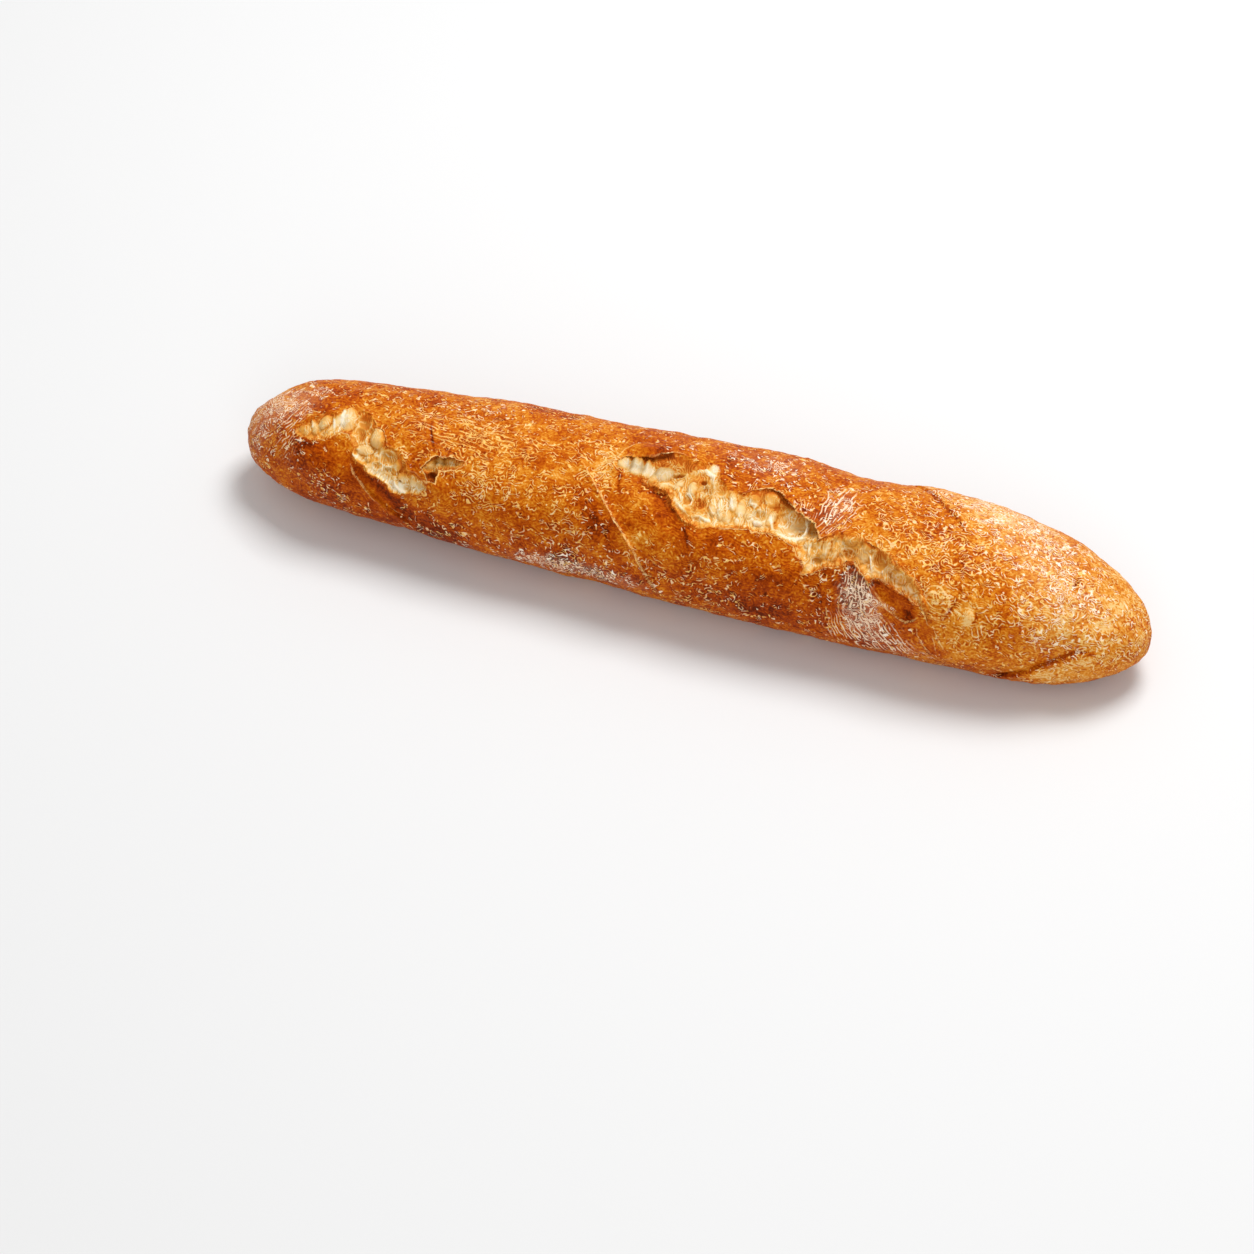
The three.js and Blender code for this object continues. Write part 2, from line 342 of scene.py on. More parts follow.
def nearest_on(chain: np.ndarray, places: Places) -> Nearest:
    """Finds the nearest point of a chain.

    Args:
        chain: rows of along, girth and a value carried along the chain.
        places: the places on the sheet.

    Returns:
        The point of the chain that is nearest to each place.
    """
    best = Nearest(*(np.full_like(places.along, fill) for fill in (1e9, 1.0, 0.0, 0.0, 0.0, 0.0)))
    start = 0.0
    for (ax, ag, av), (bx, bg, bv) in zip(chain, chain[1:]):
        dx, dg = bx - ax, bg - ag
        span = math.hypot(dx, dg)
        from_x, from_g = places.along - ax, places.girth - ag
        share = np.clip((from_x * dx + from_g * dg) / (span * span), 0.0, 1.0)
        px, pg = ax + share * dx, ag + share * dg
        distance = np.hypot(places.along - px, places.girth - pg)
        side = np.where(dx * from_g - dg * from_x >= 0.0, 1.0, -1.0)
        found = Nearest(distance, side, px, pg, av + share * (bv - av), start + share * span)
        best.take(found, distance < best.distance)
        start += span
    return best


@dataclass(frozen=True)
class Trail:
    """A line on the sheet through some points."""

    path: tuple[tuple[float, float], ...]

    def reading(self, places: Places, fade: float, share: float) -> tuple[Nearest, np.ndarray]:
        """Reads the line, which fades out towards its ends.

        Args:
            places: the places on the sheet.
            fade: how far from its ends the line fades.
            share: the most that it fades over, as a share of its length.

        Returns:
            The nearest point of the line, and how strong the line is there, from 0 at its ends to 1.
        """
        near = nearest_on(np.array([(x, g, 0.0) for x, g in self.path]), places)
        length = float(np.sum(np.hypot(*np.diff(np.array(self.path), axis=0).T)))
        ends = np.minimum(near.run, length - near.run)
        return near, smooth(ends / min(fade, share * length))


@dataclass(frozen=True)
class Seam(Trail):
    """A crease where two sheets of crust meet. All sizes are in millimetres.

    The crust on the left of the path stands up by ``step``, which fades over ``reach``. A thin ridge of
    height ``welt`` runs along the path, or a groove where it is below 0. The seam is pale or dark, as
    shares of the finish's own; its dark is painted shade in the crease, or a dark crack in the flour.
    """

    step: float = 0.0
    welt: float = 0.0
    reach: float = 3.0
    width: float = 0.9
    pale: float = 0.0
    dark: float = 0.0
    fade: float = 8.0

    def nearest(self, places: Places) -> tuple[Nearest, np.ndarray]:
        """The nearest point of the seam, and how strong the seam is there."""
        return self.reading(places, self.fade, 0.5)

    def height(self, places: Places) -> np.ndarray:
        """Works out how far the seam raises the crust.

        Args:
            places: the places on the sheet.

        Returns:
            The height that the seam adds at each place.
        """
        near, strength = self.nearest(places)
        shelf = np.where(near.side > 0, self.step, 0.0) * bell(near.distance / self.reach)
        return strength * (shelf + self.welt * bell(near.distance / self.width))


@dataclass(frozen=True)
class Fold(Trail):
    """A thin raised fold of the crumb along a path. All sizes are in millimetres."""

    height: float
    width: float
    end_share: float = 0.25
    fade_share: float = 0.3

    def at(self, places: Places) -> np.ndarray:
        """The fold's height at each place, less towards its ends."""
        near, strength = self.reading(places, math.inf, self.fade_share)
        rise = self.end_share + (1.0 - self.end_share) * strength
        return self.height * rise * bell(near.distance / self.width)


@dataclass
class CombReading(Reading):
    """How combed each place is, the count of strokes up to it, and the lengths of stroke along them."""

    strength: np.ndarray
    count: np.ndarray
    lengths: np.ndarray


@dataclass(frozen=True)
class Comb:
    """A patch of fine strokes that fan out from a pole, as where a skin was stretched.

    The pole and the patch are places on the sheet. The spacing of the strokes and their length are in
    millimetres. In a ringed comb the strokes run round the pole.
    """

    pole: tuple[float, float]
    patch: Swell
    spacing: float
    stroke: float = 4.0
    ringed: bool = False
    least_radius: float = 4.0

    def reading(self, places: Places) -> CombReading:
        """Reads the comb.

        Args:
            places: the places on the sheet.

        Returns:
            The comb's strength and its strokes at each place.
        """
        px, pg = self.pole
        dx, dg = places.along - px, places.girth - pg
        to_patch, up_patch = self.patch.along - px, self.patch.girth - pg
        radius = max(math.hypot(to_patch, up_patch), self.least_radius)
        angle = np.arctan2(dg, dx) - math.atan2(up_patch, to_patch)
        arc = (np.mod(angle + math.pi, 2 * math.pi) - math.pi) * radius
        away = np.hypot(dx, dg)
        across, down = (away, arc) if self.ringed else (arc, away)
        return CombReading(self.patch.at(places), across / self.spacing, down / self.stroke)


def inside(outline: np.ndarray, places: Places) -> np.ndarray:
    """Finds the places in an outline, by counting the edges crossed on the way out.

    Args:
        outline: the closed chain, with rows of along, girth and a value.
        places: the places on the sheet.

    Returns:
        Whether each place lies inside.
    """
    result = np.zeros(places.along.shape, bool)
    for (ax, ag, _), (bx, bg, _) in zip(outline, outline[1:]):
        if ag == bg:
            continue
        crosses = (ag > places.girth) != (bg > places.girth)
        result ^= crosses & (places.along < (bx - ax) * (places.girth - ag) / (bg - ag) + ax)
    return result


@dataclass
class BurstReading(Reading):
    """What the bursts do at each place.

    The depth is the distance inside the nearest edge, below 0 outside. The lip is that of the edges, the
    edge's along and girth are its nearest point, upward is the share of the way from the lower edge to the
    upper one, and burst is the burst's number.
    """

    depth: np.ndarray
    lip: np.ndarray
    edge_along: np.ndarray
    edge_girth: np.ndarray
    upward: np.ndarray
    burst: np.ndarray

    def to_edge(self, places: Places) -> tuple[np.ndarray, np.ndarray]:
        """How far along the loaf and round it the nearest edge is from each place."""
        return self.edge_along - places.along, self.edge_girth - places.girth


@dataclass(frozen=True)
class Filler:
    """The small air cells that fill the crumb between a burst's own cells. Sizes are in millimetres."""

    tries: int = 2600
    gap: float = 0.86
    squash: tuple[float, float] = (1.2, 1.9)
    tilt: float = 28.0
    depth: float = 0.26
    # How dark the bottom of each small cell is painted: painted shade.
    shade: float = 0.18

    def cells(self, burst: Burst) -> list[Cell]:
        """Draws cells into the crumb that the burst's own cells leave bare.

        Args:
            burst: the burst to fill.

        Returns:
            The cells, none of them far over another.
        """
        draw = np.random.default_rng(burst.seed)
        outline = burst.outline()
        low, high = outline[:, :2].min(axis=0), outline[:, :2].max(axis=0)
        taken = [(c.along, c.girth, (c.half_along + c.half_round) / 2) for c in burst.cells]
        made = []
        for _ in range(self.tries):
            x, g = draw.uniform(low, high)
            radius = draw.uniform(*burst.filler)
            squash, tilt = draw.uniform(*self.squash), draw.uniform(-self.tilt, self.tilt)
            if not inside(outline, Places(np.array([x]), np.array([g])))[0]:
                continue
            if any(math.hypot(x - cx, g - cg) < self.gap * (radius + r) for cx, cg, r in taken):
                continue
            taken.append((x, g, radius))
            depth = self.depth * radius * draw.choice((-1.0, 1.0))
            made.append(Cell(x, g, radius / squash, radius * squash, depth, tilt, self.shade))
        return made


Edge = tuple[tuple[float, float, float], ...]


@dataclass(frozen=True)
class Burst:
    """A score that tore open. All sizes are in millimetres.

    Each edge is a list of along, girth and lip, from left to right. A lip is how far the crust stands
    above the crumb at the edge; below 0 the crumb stands above the crust. The crumb lies lower than the
    crust by ``sink``, and ``filler`` is the least and the greatest radius of the small cells, drawn with
    ``seed``. Toast and rim are how brown the crumb is and how pale its torn edges are, from 0 to 1.
    """

    name: str
    upper: Edge
    lower: Edge
    cells: tuple[Cell, ...]
    folds: tuple[Fold, ...]
    sink: float
    filler: tuple[float, float]
    seed: int
    toast: float
    rim: float

    def outline(self) -> np.ndarray:
        """The burst's outline as a closed chain, clockwise on the sheet."""
        ring = [*self.upper, *reversed(self.lower)]
        return np.array([*ring, ring[0]])

    def reading(self, places: Places, number: int) -> BurstReading:
        """Reads the burst.

        Args:
            places: the places on the sheet.
            number: the burst's number.

        Returns:
            How far inside the burst each place is, and what its edges are there.
        """
        outline = self.outline()
        near = nearest_on(outline, places)
        depth = np.where(inside(outline, places), near.distance, -near.distance)
        below, above = (nearest_on(np.array(edge), places) for edge in (self.lower, self.upper))
        upward = below.distance / (below.distance + above.distance + 1e-6)
        lip = below.value + (above.value - below.value) * smooth(upward)
        return BurstReading(depth, lip, near.along, near.girth, upward, np.full_like(places.along, number))


@dataclass
class CrumbReading(Reading):
    """The crumb at each place: its height, the painted shade in its hollows, its thin pale walls and its
    round pillows.
    """

    height: np.ndarray
    hollow: np.ndarray
    wall: np.ndarray
    puff: np.ndarray


# ------------------------------------------------------------------ this loaf's relief
# The rows of swells and cells are along, girth, half the size along and round, amount, tilt and shade.
SWELLS = each(Swell,
    (18, 64, 22, 16, 1), (56, 66, 11, 14, -1.4), (84, 66, 12, 14, 0.9), (-150, 48, 7, 9, 0.4),
    (-120, 62, 14, 14, -1.9), (-126, 13, 11, 9, 1.1), (104, -16, 15, 11, -0.9), (26, 12, 22, 11, 0.9),
    (-60, 30, 24, 20, 0.5), (118, 22, 24, 22, 0.7))
BLISTERS = each(Swell,
    (93.5, 20, 5.6, 7.5, 0.9), (103.3, 14.5, 1.8, 3, 0.8), (-15.5, 46.8, 6, 2.8, 2),
    (-24.2, 38, 1.8, 1.8, 0.5), (-82, 14.4, 2.6, 2.4, 0.4), (17, 7, 2.6, 2.2, 0.5), (-87, 33, 3, 6, 0.5),
    (-128, 44, 5, 3, 0.5), (80, 13, 6, 3, -0.5, -32), (140, 4, 4, 4, 0.5), (-42, 2, 4, 3, 0.6))
# Where the crumb comes up to the crust, over its usual level.
FILLED = each(Swell,
    (60, 31.5, 7, 3, 0.8), (76, 27, 9, 3, 1, -32), (80, 23, 8, 4, 0.5, -38), (-16.5, 44.6, 6.5, 2.2, 0.9),
    (87.4, 16, 4.5, 2.8, 1.3, -50), (13, 34, 8, 6, 0.4))
# The slow waves that a hand-rolled loaf has: height, waves per loaf length, waves round, phase.
WAVES = ((0.16, 3.5, 2, 0.4), (0.14, 6.0, 3, 2.1), (0.12, 9.5, 2, 4.0), (0.1, 13.0, 5, 1.2))

SEAMS = (
    Seam(((-37, 40), (-29.4, 31.9), (-22.5, 23.8), (-16.3, 16.3), (-11.3, 10), (-7.5, 2.5), (-1.3, -8)),
         step=-1.2, welt=0.5, reach=9, pale=0.85, width=1),
    Seam(((-114.4, 19), (-113.2, 14), (-110.6, 9), (-106, 4), (-102, 0.5), (-96, -4), (-90, -9)),
         step=-1.1, reach=6),
    Seam(((-114.2, 18.4), (-112.8, 13), (-110.6, 9.4), (-107.8, 5.8), (-105, 1.6), (-102, -0.6)),
         welt=0.25, pale=0.75, width=0.35, fade=5),
    Seam(((-99.5, -1), (-96.6, -2.2), (-93.6, -4.6)), welt=0.25, pale=0.6, width=0.35, fade=3),
    Seam(((70, 75), (73.5, 66), (77.5, 61), (82.5, 54.4), (90, 48), (95, 43.8), (99, 40.5)),
         step=0.9, welt=-0.3, reach=7, dark=0.26, width=0.7, fade=14),
    Seam(((112, -19), (121, -8.8), (127.5, -1.9), (133.8, 2.5), (138.8, 7.5), (144, 10.5)),
         step=-1.6, welt=-0.3, reach=9, dark=0.26, fade=6),
    Seam(((-92, 45), (-89.5, 38), (-86.3, 31), (-85.2, 27)),
         step=0.4, welt=-0.2, reach=5, dark=0.45, width=0.5),
    Seam(((-97.8, 8.2), (-95.2, 7.2), (-91.4, 8.8), (-88, 10.4), (-85, 12.2)),
         welt=0.4, pale=0.9, width=0.5, fade=1.5),
    Seam(((104.6, 17.8), (105.7, 14.6), (104.2, 11.4)), welt=-0.3, dark=0.4, width=0.5, fade=1.5),
    Seam(((1, 27.5), (3.6, 24), (6.4, 19.5), (7.2, 15), (6.4, 11)),
         step=0.6, welt=-0.1, reach=5, dark=0.2, width=0.7),
    Seam(((86, 15.5), (88.5, 13.2), (91, 10), (92.8, 6.4), (94.8, 2.6), (97.5, -2)),
         step=-0.5, welt=0.7, reach=5, pale=1, fade=4),
    Seam(((97.4, 27), (98.6, 23), (98, 18.5), (95.5, 12.5), (92, 9.6)), step=-0.5, welt=-0.2, dark=0.34),
    Seam(((58.6, 22.4), (60, 23.6), (61.8, 23.8), (62.8, 21.4)), welt=0.1, dark=0.5, width=1.2, fade=2),
    Seam(((64.6, 20.6), (62.8, 16.5), (66.4, 13.5), (66, 7.8)), welt=-0.35, dark=0.5, width=0.6, fade=3),
    Seam(((61.2, 14), (60.6, 10.4), (62.4, 7)), welt=-0.3, dark=0.4, width=0.5, fade=3),
    Seam(((-25.5, 41), (-23.4, 45.4), (-19, 48.8), (-13, 49.8), (-9, 49)),
         welt=0.5, pale=0.8, width=0.6, fade=4),
    Seam(((134.6, 45), (133.8, 41), (132.8, 36.4)), welt=-0.4, dark=0.6, width=0.5, fade=3),
    Seam(((-23.2, 39.4), (-21.9, 37.4), (-21.4, 34), (-20.8, 30)),
         step=0.3, welt=-0.3, dark=0.4, width=0.6, fade=3),
    Seam(((71.5, 20), (77.4, 17.6), (82.4, 15.9), (84.6, 13.6), (84.8, 10.6)),
         welt=-0.2, dark=0.22, width=0.7, fade=3),
    Seam(((60, 14), (59.9, 8), (60.8, 2), (62.8, -4), (64.4, -8)), welt=0.2, pale=0.6, width=0.4, fade=4),
    Seam(((65, 0.6), (65.8, -4), (67.2, -9)), welt=0.2, pale=0.7, width=0.4, fade=3),
    Seam(((86.4, 7), (87.4, 2.6), (90.6, -2.2), (93.6, -6)), welt=0.2, pale=0.7, width=0.4, fade=3),
    Seam(((92, 5), (93.4, 0.6), (94.2, -4.6)), welt=0.2, pale=0.6, width=0.4, fade=3),
    Seam(((125.3, 12), (125.4, 9), (126.4, 5.4)), welt=0.3, pale=0.8, width=0.4, fade=1.5),
    Seam(((56, 6), (56.4, 3), (57, 0.4)), welt=0.2, pale=0.7, width=0.4, fade=1.5),
    Seam(((70, 17.6), (73.5, 13), (76.5, 10), (79.8, 8), (82.8, 6.8), (85.6, 8.4), (87, 11)),
         step=-1, welt=0.7, reach=4, pale=0.6, width=0.6, fade=4),
    Seam(((-131, 6), (-134, 12), (-133.5, 19), (-130, 22.5)), step=0.5, welt=-0.1, reach=5, dark=0.12),
)
COMBS = (
    Comb((46, 22), Swell(52, 41, 6, 8, 1.1, -12), 1.2, 3.5),
    Comb((45, 30), Swell(40.5, 39.5, 4, 3.2, 0.7), 0.9),
    Comb((62.5, 34), Swell(65, 13, 5.4, 8.5, 0.9, 8), 1.3, 4),
    Comb((39.3, 50.3), Swell(71, -4, 12, 8, 1.3, -10), 1.3, 4.5),
    Comb((-420, 60), Swell(-76, 39, 22, 7, 0.8), 1.4),
    Comb((-100, 44), Swell(-102.5, 14.5, 5.5, 3, 0.9, -30), 0.9),
    Comb((-100, 120), Swell(-139, 26, 5, 18, 0.6), 1.2),
    Comb((60, 160), Swell(54, 27, 5, 6, 0.6), 1.5),
    Comb((20, 20), Swell(13, 33, 4.5, 5, 1), 0.9, 6),
    Comb((92, 18), Swell(92, 18, 4.6, 6, 1), 2.4, 7, True),
)

# The rows of edges are along, girth and lip, and those of folds are the path, height and width.
LEFT_BURST = Burst(
    name="left_burst",
    upper=(
        (-137.2, 26.3, 0), (-136, 30, 0.1), (-133, 33.8, 0.1), (-128.8, 36.9, 0.1), (-123.8, 38, 0.1),
        (-120.6, 42.3, 0.1), (-117, 41.6, 0.1), (-112, 39.8, 0.2), (-110, 37, 0.3), (-108.8, 34.6, 0.3),
        (-106.3, 34.6, 0.5), (-104.2, 31, 0.5), (-102.6, 27.6, 0.3), (-97.5, 27, 0.1), (-95, 23, 0.2),
        (-93.8, 19.4, 0.3), (-90, 18.8, 0.3), (-86, 15.6, 0.2), (-84.4, 12.4, 0)),
    lower=(
        (-135.4, 24, 0), (-130.4, 23.4, -0.2), (-127, 24.2, -0.3), (-123.8, 25.2, -0.2),
        (-119.6, 30, 0.4), (-116.6, 29, 0.5), (-114.8, 24.6, -0.2), (-113.8, 18.4, -1),
        (-109.4, 16.6, -1.4), (-107.2, 12.8, -1.7), (-101, 10.6, -1.7), (-98.8, 7.2, -1.6),
        (-95.4, 6, -1.5), (-88.8, 9.2, -0.7)),
    cells=each(Cell,
        (-133.2, 27.6, 2.3, 2.9, -0.8, 25), (-129.6, 29, 1.5, 3.2, -0.9, 10),
        (-127, 32.8, 2, 3.9, -1.4, -18), (-124.2, 29, 1.6, 3.6, -0.6, -10),
        (-122.8, 34, 1.5, 4.6, -0.9, -14), (-118.6, 36.2, 2.6, 5.6, -1.5, 8),
        (-113.2, 36.4, 2.4, 4, 1, 20), (-113.2, 30.4, 2, 4, 1.2, 18), (-106.8, 30, 2.8, 4.5, -2.2, 4),
        (-110, 23.8, 3, 2.6, -1.2, 0), (-101.4, 22.4, 3.2, 3.6, 1.2, 10), (-100.6, 17.2, 1.3, 1.4, 1.2),
        (-104.6, 18.2, 1.8, 1.8, 0.6), (-97.2, 20.6, 1.7, 3.8, -0.8, -16),
        (-94.6, 15.6, 2.2, 2.6, -0.8, 12), (-95.8, 13.4, 0.6, 0.6, 1.4, 0, 1), (-92.9, 10.8, 1.8, 2, 1.4),
        (-87.6, 13.8, 2.3, 2.3, 0.9), (-91, 14.6, 1.4, 2.6, -0.6)),
    folds=each(Fold,
        (((-131.8, 33.6), (-131, 31), (-130.8, 28.6)), 0.8, 0.5),
        (((-124.6, 36.4), (-123.4, 33), (-122.6, 29.4)), 0.8, 0.5),
        (((-121.2, 41.6), (-121.4, 37), (-120.6, 32)), 0.9, 0.6),
        (((-114.9, 24.6), (-113.9, 21), (-111, 19.4)), 0.8, 0.7),
        (((-109.4, 33.4), (-107.4, 34.6), (-105.2, 32.6)), 0.8, 0.5),
        (((-97.8, 14.4), (-97.2, 11), (-95, 9), (-91, 9.6)), 0.8, 0.6)),
    sink=1.3, filler=(0.9, 1.7), seed=11, toast=0.42, rim=0.9)
SIDE_HOLE = Burst(
    name="side_hole",
    upper=(
        (-88.4, 22, 0.5), (-86.8, 26.4, 1), (-84.2, 28.4, 1.3), (-80.6, 29.2, 1.3), (-77.6, 28.4, 0.9),
        (-73.6, 28.2, 0.2)),
    lower=(
        (-87.4, 21, 0.6), (-85.6, 17.4, 0.7), (-83, 17.2, 0.7), (-82.6, 20.6, 0.5), (-82.8, 23, 0.3),
        (-79.6, 23.7, 0.4), (-76.8, 24.8, 0.4), (-75.2, 26.6, 0.2)),
    cells=each(Cell,
        (-86, 24.2, 1.5, 2.4, -0.5), (-83.2, 26.4, 1.4, 2.4, -0.8), (-80.2, 26.8, 1.6, 1.9, -0.6),
        (-77.4, 27, 1.2, 1, 0.8), (-84.6, 19.4, 1.7, 2, 2, 0, 0.7)),
    folds=(),
    sink=1.9, filler=(0.8, 1.2), seed=12, toast=0.36, rim=1)
LONG_BURST = Burst(
    name="long_burst",
    upper=(
        (-24.6, 41.8, 0.2), (-20, 44.2, 1.5), (-15, 44.4, 2.2), (-12.2, 45.2, 2.2), (-10, 47.2, 1.4),
        (-6.3, 48.4, 0.4), (-1.3, 47.4, 0.2), (3.1, 46.4, 0.1), (7, 48.4, 0), (9.6, 46.4, 0.1),
        (12.4, 42.6, 0.1), (16, 40.2, 0.1), (21, 40, 0.2), (23.8, 41.4, 0.3), (27.5, 43.2, 0.7),
        (31.5, 43.4, 1.2), (36, 40.2, 2), (40, 37.2, 2.5), (44, 35.8, 2.5), (46.8, 35, 2.2),
        (48, 32, 1.2), (48.6, 29.2, 0.7), (51.2, 31.2, 0.3), (53.6, 34, 0.1), (58.8, 34.6, 0.1),
        (64.4, 33.8, 0.2), (67, 31.8, 0.6), (70.6, 31.6, 0.2), (75, 29.6, 0.1), (78.8, 26.9, 0.1),
        (82.8, 24.4, 0.1), (85.8, 20.8, 0.1), (88.6, 16.6, 0.1), (90.8, 12, 0.1), (92.6, 7.4, 0)),
    lower=(
        (-23.2, 39.2, 0.1), (-20.4, 37.3, -0.2), (-15, 37.1, -0.8), (-13.4, 34.7, -1.2), (-9.6, 35, -1.7),
        (-7.4, 33.6, -1.9), (-5.2, 33.4, -1.9), (-2.6, 29.6, -1.7), (0.2, 26.8, -1.3), (4.2, 24.2, -0.8),
        (9.6, 23.5, -0.3), (14.4, 25.4, 0.1), (18.6, 26.2, 0.4), (24.4, 27.6, 0.6), (27.5, 26.9, 0.6),
        (33.8, 28, 0.8), (38.6, 26.6, 0.7), (41.6, 25.4, 0.4), (43.6, 21.4, 0.3), (45.9, 20.4, 0.2),
        (46, 16.4, 0.2), (49.2, 16.8, 0.5), (51.6, 19, 1.2), (54.4, 20.6, 1.9), (57.6, 21.4, 2.5),
        (60, 23, 3), (61.6, 24.6, 3.4), (64, 22.8, 2.6), (66.4, 20, 1.4), (69.2, 17.6, 0.9),
        (70, 20.2, 1.8), (72.6, 20.6, 2.6), (77.4, 18.4, 2.5), (82.6, 16.6, 1.9), (86.2, 14.4, 1.3),
        (88.6, 11.6, 0.6), (90.8, 8.2, 0.2)),
    cells=each(Cell,
        (-22.4, 41.2, 2.1, 2.7, -1.4, 8), (-17.6, 41.2, 2.5, 3.4, -2, 6), (-13.8, 41, 1.8, 3.5, -1.8, 4),
        (-11.2, 38.2, 1.6, 2.7, -1.4, 8), (-7.8, 41.3, 3.4, 3.4, -2), (-2.9, 41.5, 2.4, 1, 2.6, 28, 1),
        (-5.5, 45.2, 7, 2.8, 1.2, -6, 0.1), (-1.6, 38.2, 1.4, 2.2, -0.9, -25),
        (-6.6, 36.4, 2.2, 1.3, -0.8, -15), (3.2, 37.6, 1.8, 3, -1.4, 6), (6, 41.3, 1.2, 1.2, 2.2, 0, 1),
        (7.4, 38.6, 1, 1.6, 1.8), (3.4, 33, 2.3, 2.3, 1.2), (7.4, 33.2, 2.1, 2.7, 0.9, -15),
        (8, 45.6, 2.3, 2.2, -0.8), (12.2, 40.4, 2, 3.2, 1.2, 32), (11.6, 33, 1.3, 3.8, -0.8, 12),
        (14.4, 32.6, 1.3, 4.4, -0.8, 12), (17.6, 36.4, 1.5, 3.6, -1.2, 14),
        (17.2, 30.4, 1.6, 2.8, -0.6, 10), (20.8, 34.6, 1.7, 4, -0.8, 4), (21.6, 29.8, 1.8, 2, -0.6),
        (24.6, 38.6, 2, 2.2, -0.9), (27.4, 33.6, 2.4, 2.4, 1.8), (27.6, 30.9, 1.7, 1.5, -1),
        (29.8, 40.6, 2.8, 2.4, -1, -20), (31.6, 34, 1.5, 3.6, -0.9, -8),
        (38.2, 32.6, 6.2, 4.9, 3.2, -24, 0.1), (45.8, 32.2, 1.9, 3.1, 2.4, 12, 0.3),
        (41.9, 30.6, 0.5, 0.5, 1.5, 0, 1), (45.9, 27.2, 1.5, 1.6, -0.9), (49.9, 21.5, 1.7, 1.6, 1.7),
        (48, 18.6, 1.6, 1.7, -0.9), (52, 26.6, 1.5, 4.6, -0.9, -4), (55.4, 27.6, 1.4, 5, -0.8, -6),
        (59.4, 26.8, 2.6, 2.4, 1, 0), (59.4, 31.8, 2.2, 1.8, -0.6), (64.4, 28.4, 2.4, 4.2, -0.9, -14),
        (70.6, 27, 2.7, 4, 1.5, 14), (74.4, 25.4, 1.3, 3, -0.6, -30), (78, 22.8, 3.4, 2.2, -0.6, -30),
        (82.4, 20, 2.6, 1.6, -0.5, -36)),
    folds=each(Fold,
        (((-24.2, 40.4), (-20.6, 43.8), (-14.6, 44)), 0.4, 0.5),
        (((-12.6, 43.8), (-11.8, 40.8), (-12.4, 37.2)), 0.6, 0.5),
        (((-9.4, 36.8), (-5.6, 37.6), (-1.4, 36.4), (0.8, 33.6)), 0.5, 0.9),
        (((1.6, 41.6), (2.8, 43.8), (5.6, 44.6), (8.6, 43.4), (9.4, 40.6)), 1, 0.6),
        (((-2.4, 34.4), (-0.2, 31.2), (2.8, 29), (5, 28.6)), 0.7, 0.9),
        (((4.6, 27.2), (8, 28.4), (11.4, 27.2), (14, 27.4)), 0.7, 0.8),
        (((-1, 36.2), (0.6, 33), (2.2, 31)), 0.6, 0.5),
        (((0.8, 35.4), (2.8, 35.2), (4.6, 33.6), (4.4, 31.6), (2.4, 31)), 0.8, 0.45),
        (((16.6, 38.2), (17.4, 35.4), (18.8, 33.2)), 0.8, 0.4),
        (((22.6, 39.8), (23.4, 37.2), (25.4, 37.4), (25, 35.2)), 0.8, 0.5),
        (((30.6, 35.4), (32.2, 31.8), (33.2, 28.8)), 0.9, 0.6),
        (((34.6, 29.4), (38.4, 27.8), (42.6, 28.6), (45.6, 30)), 0.8, 0.6),
        (((42.6, 36.4), (44, 33.4), (43.8, 30.6), (42.6, 28.8)), 1.7, 0.5),
        (((41.6, 25.6), (43.8, 23.6), (44.6, 21.4)), 0.9, 0.6),
        (((47, 29), (46.6, 25.4), (47.4, 22.4)), 0.6, 0.5),
        (((56.6, 30.6), (57.2, 27.2), (58.8, 25), (61.4, 24.8)), 0.6, 0.4),
        (((61.6, 30.4), (62, 27.6), (60.4, 25.8)), 0.4, 0.35),
        (((66.4, 30), (67.4, 26.4), (68.8, 21.6)), 0.8, 0.4),
        (((74.2, 27.4), (72.4, 24.4), (71.4, 21.6)), 0.6, 0.35)),
    sink=1.5, filler=(0.9, 1.8), seed=13, toast=0.33, rim=0.9)


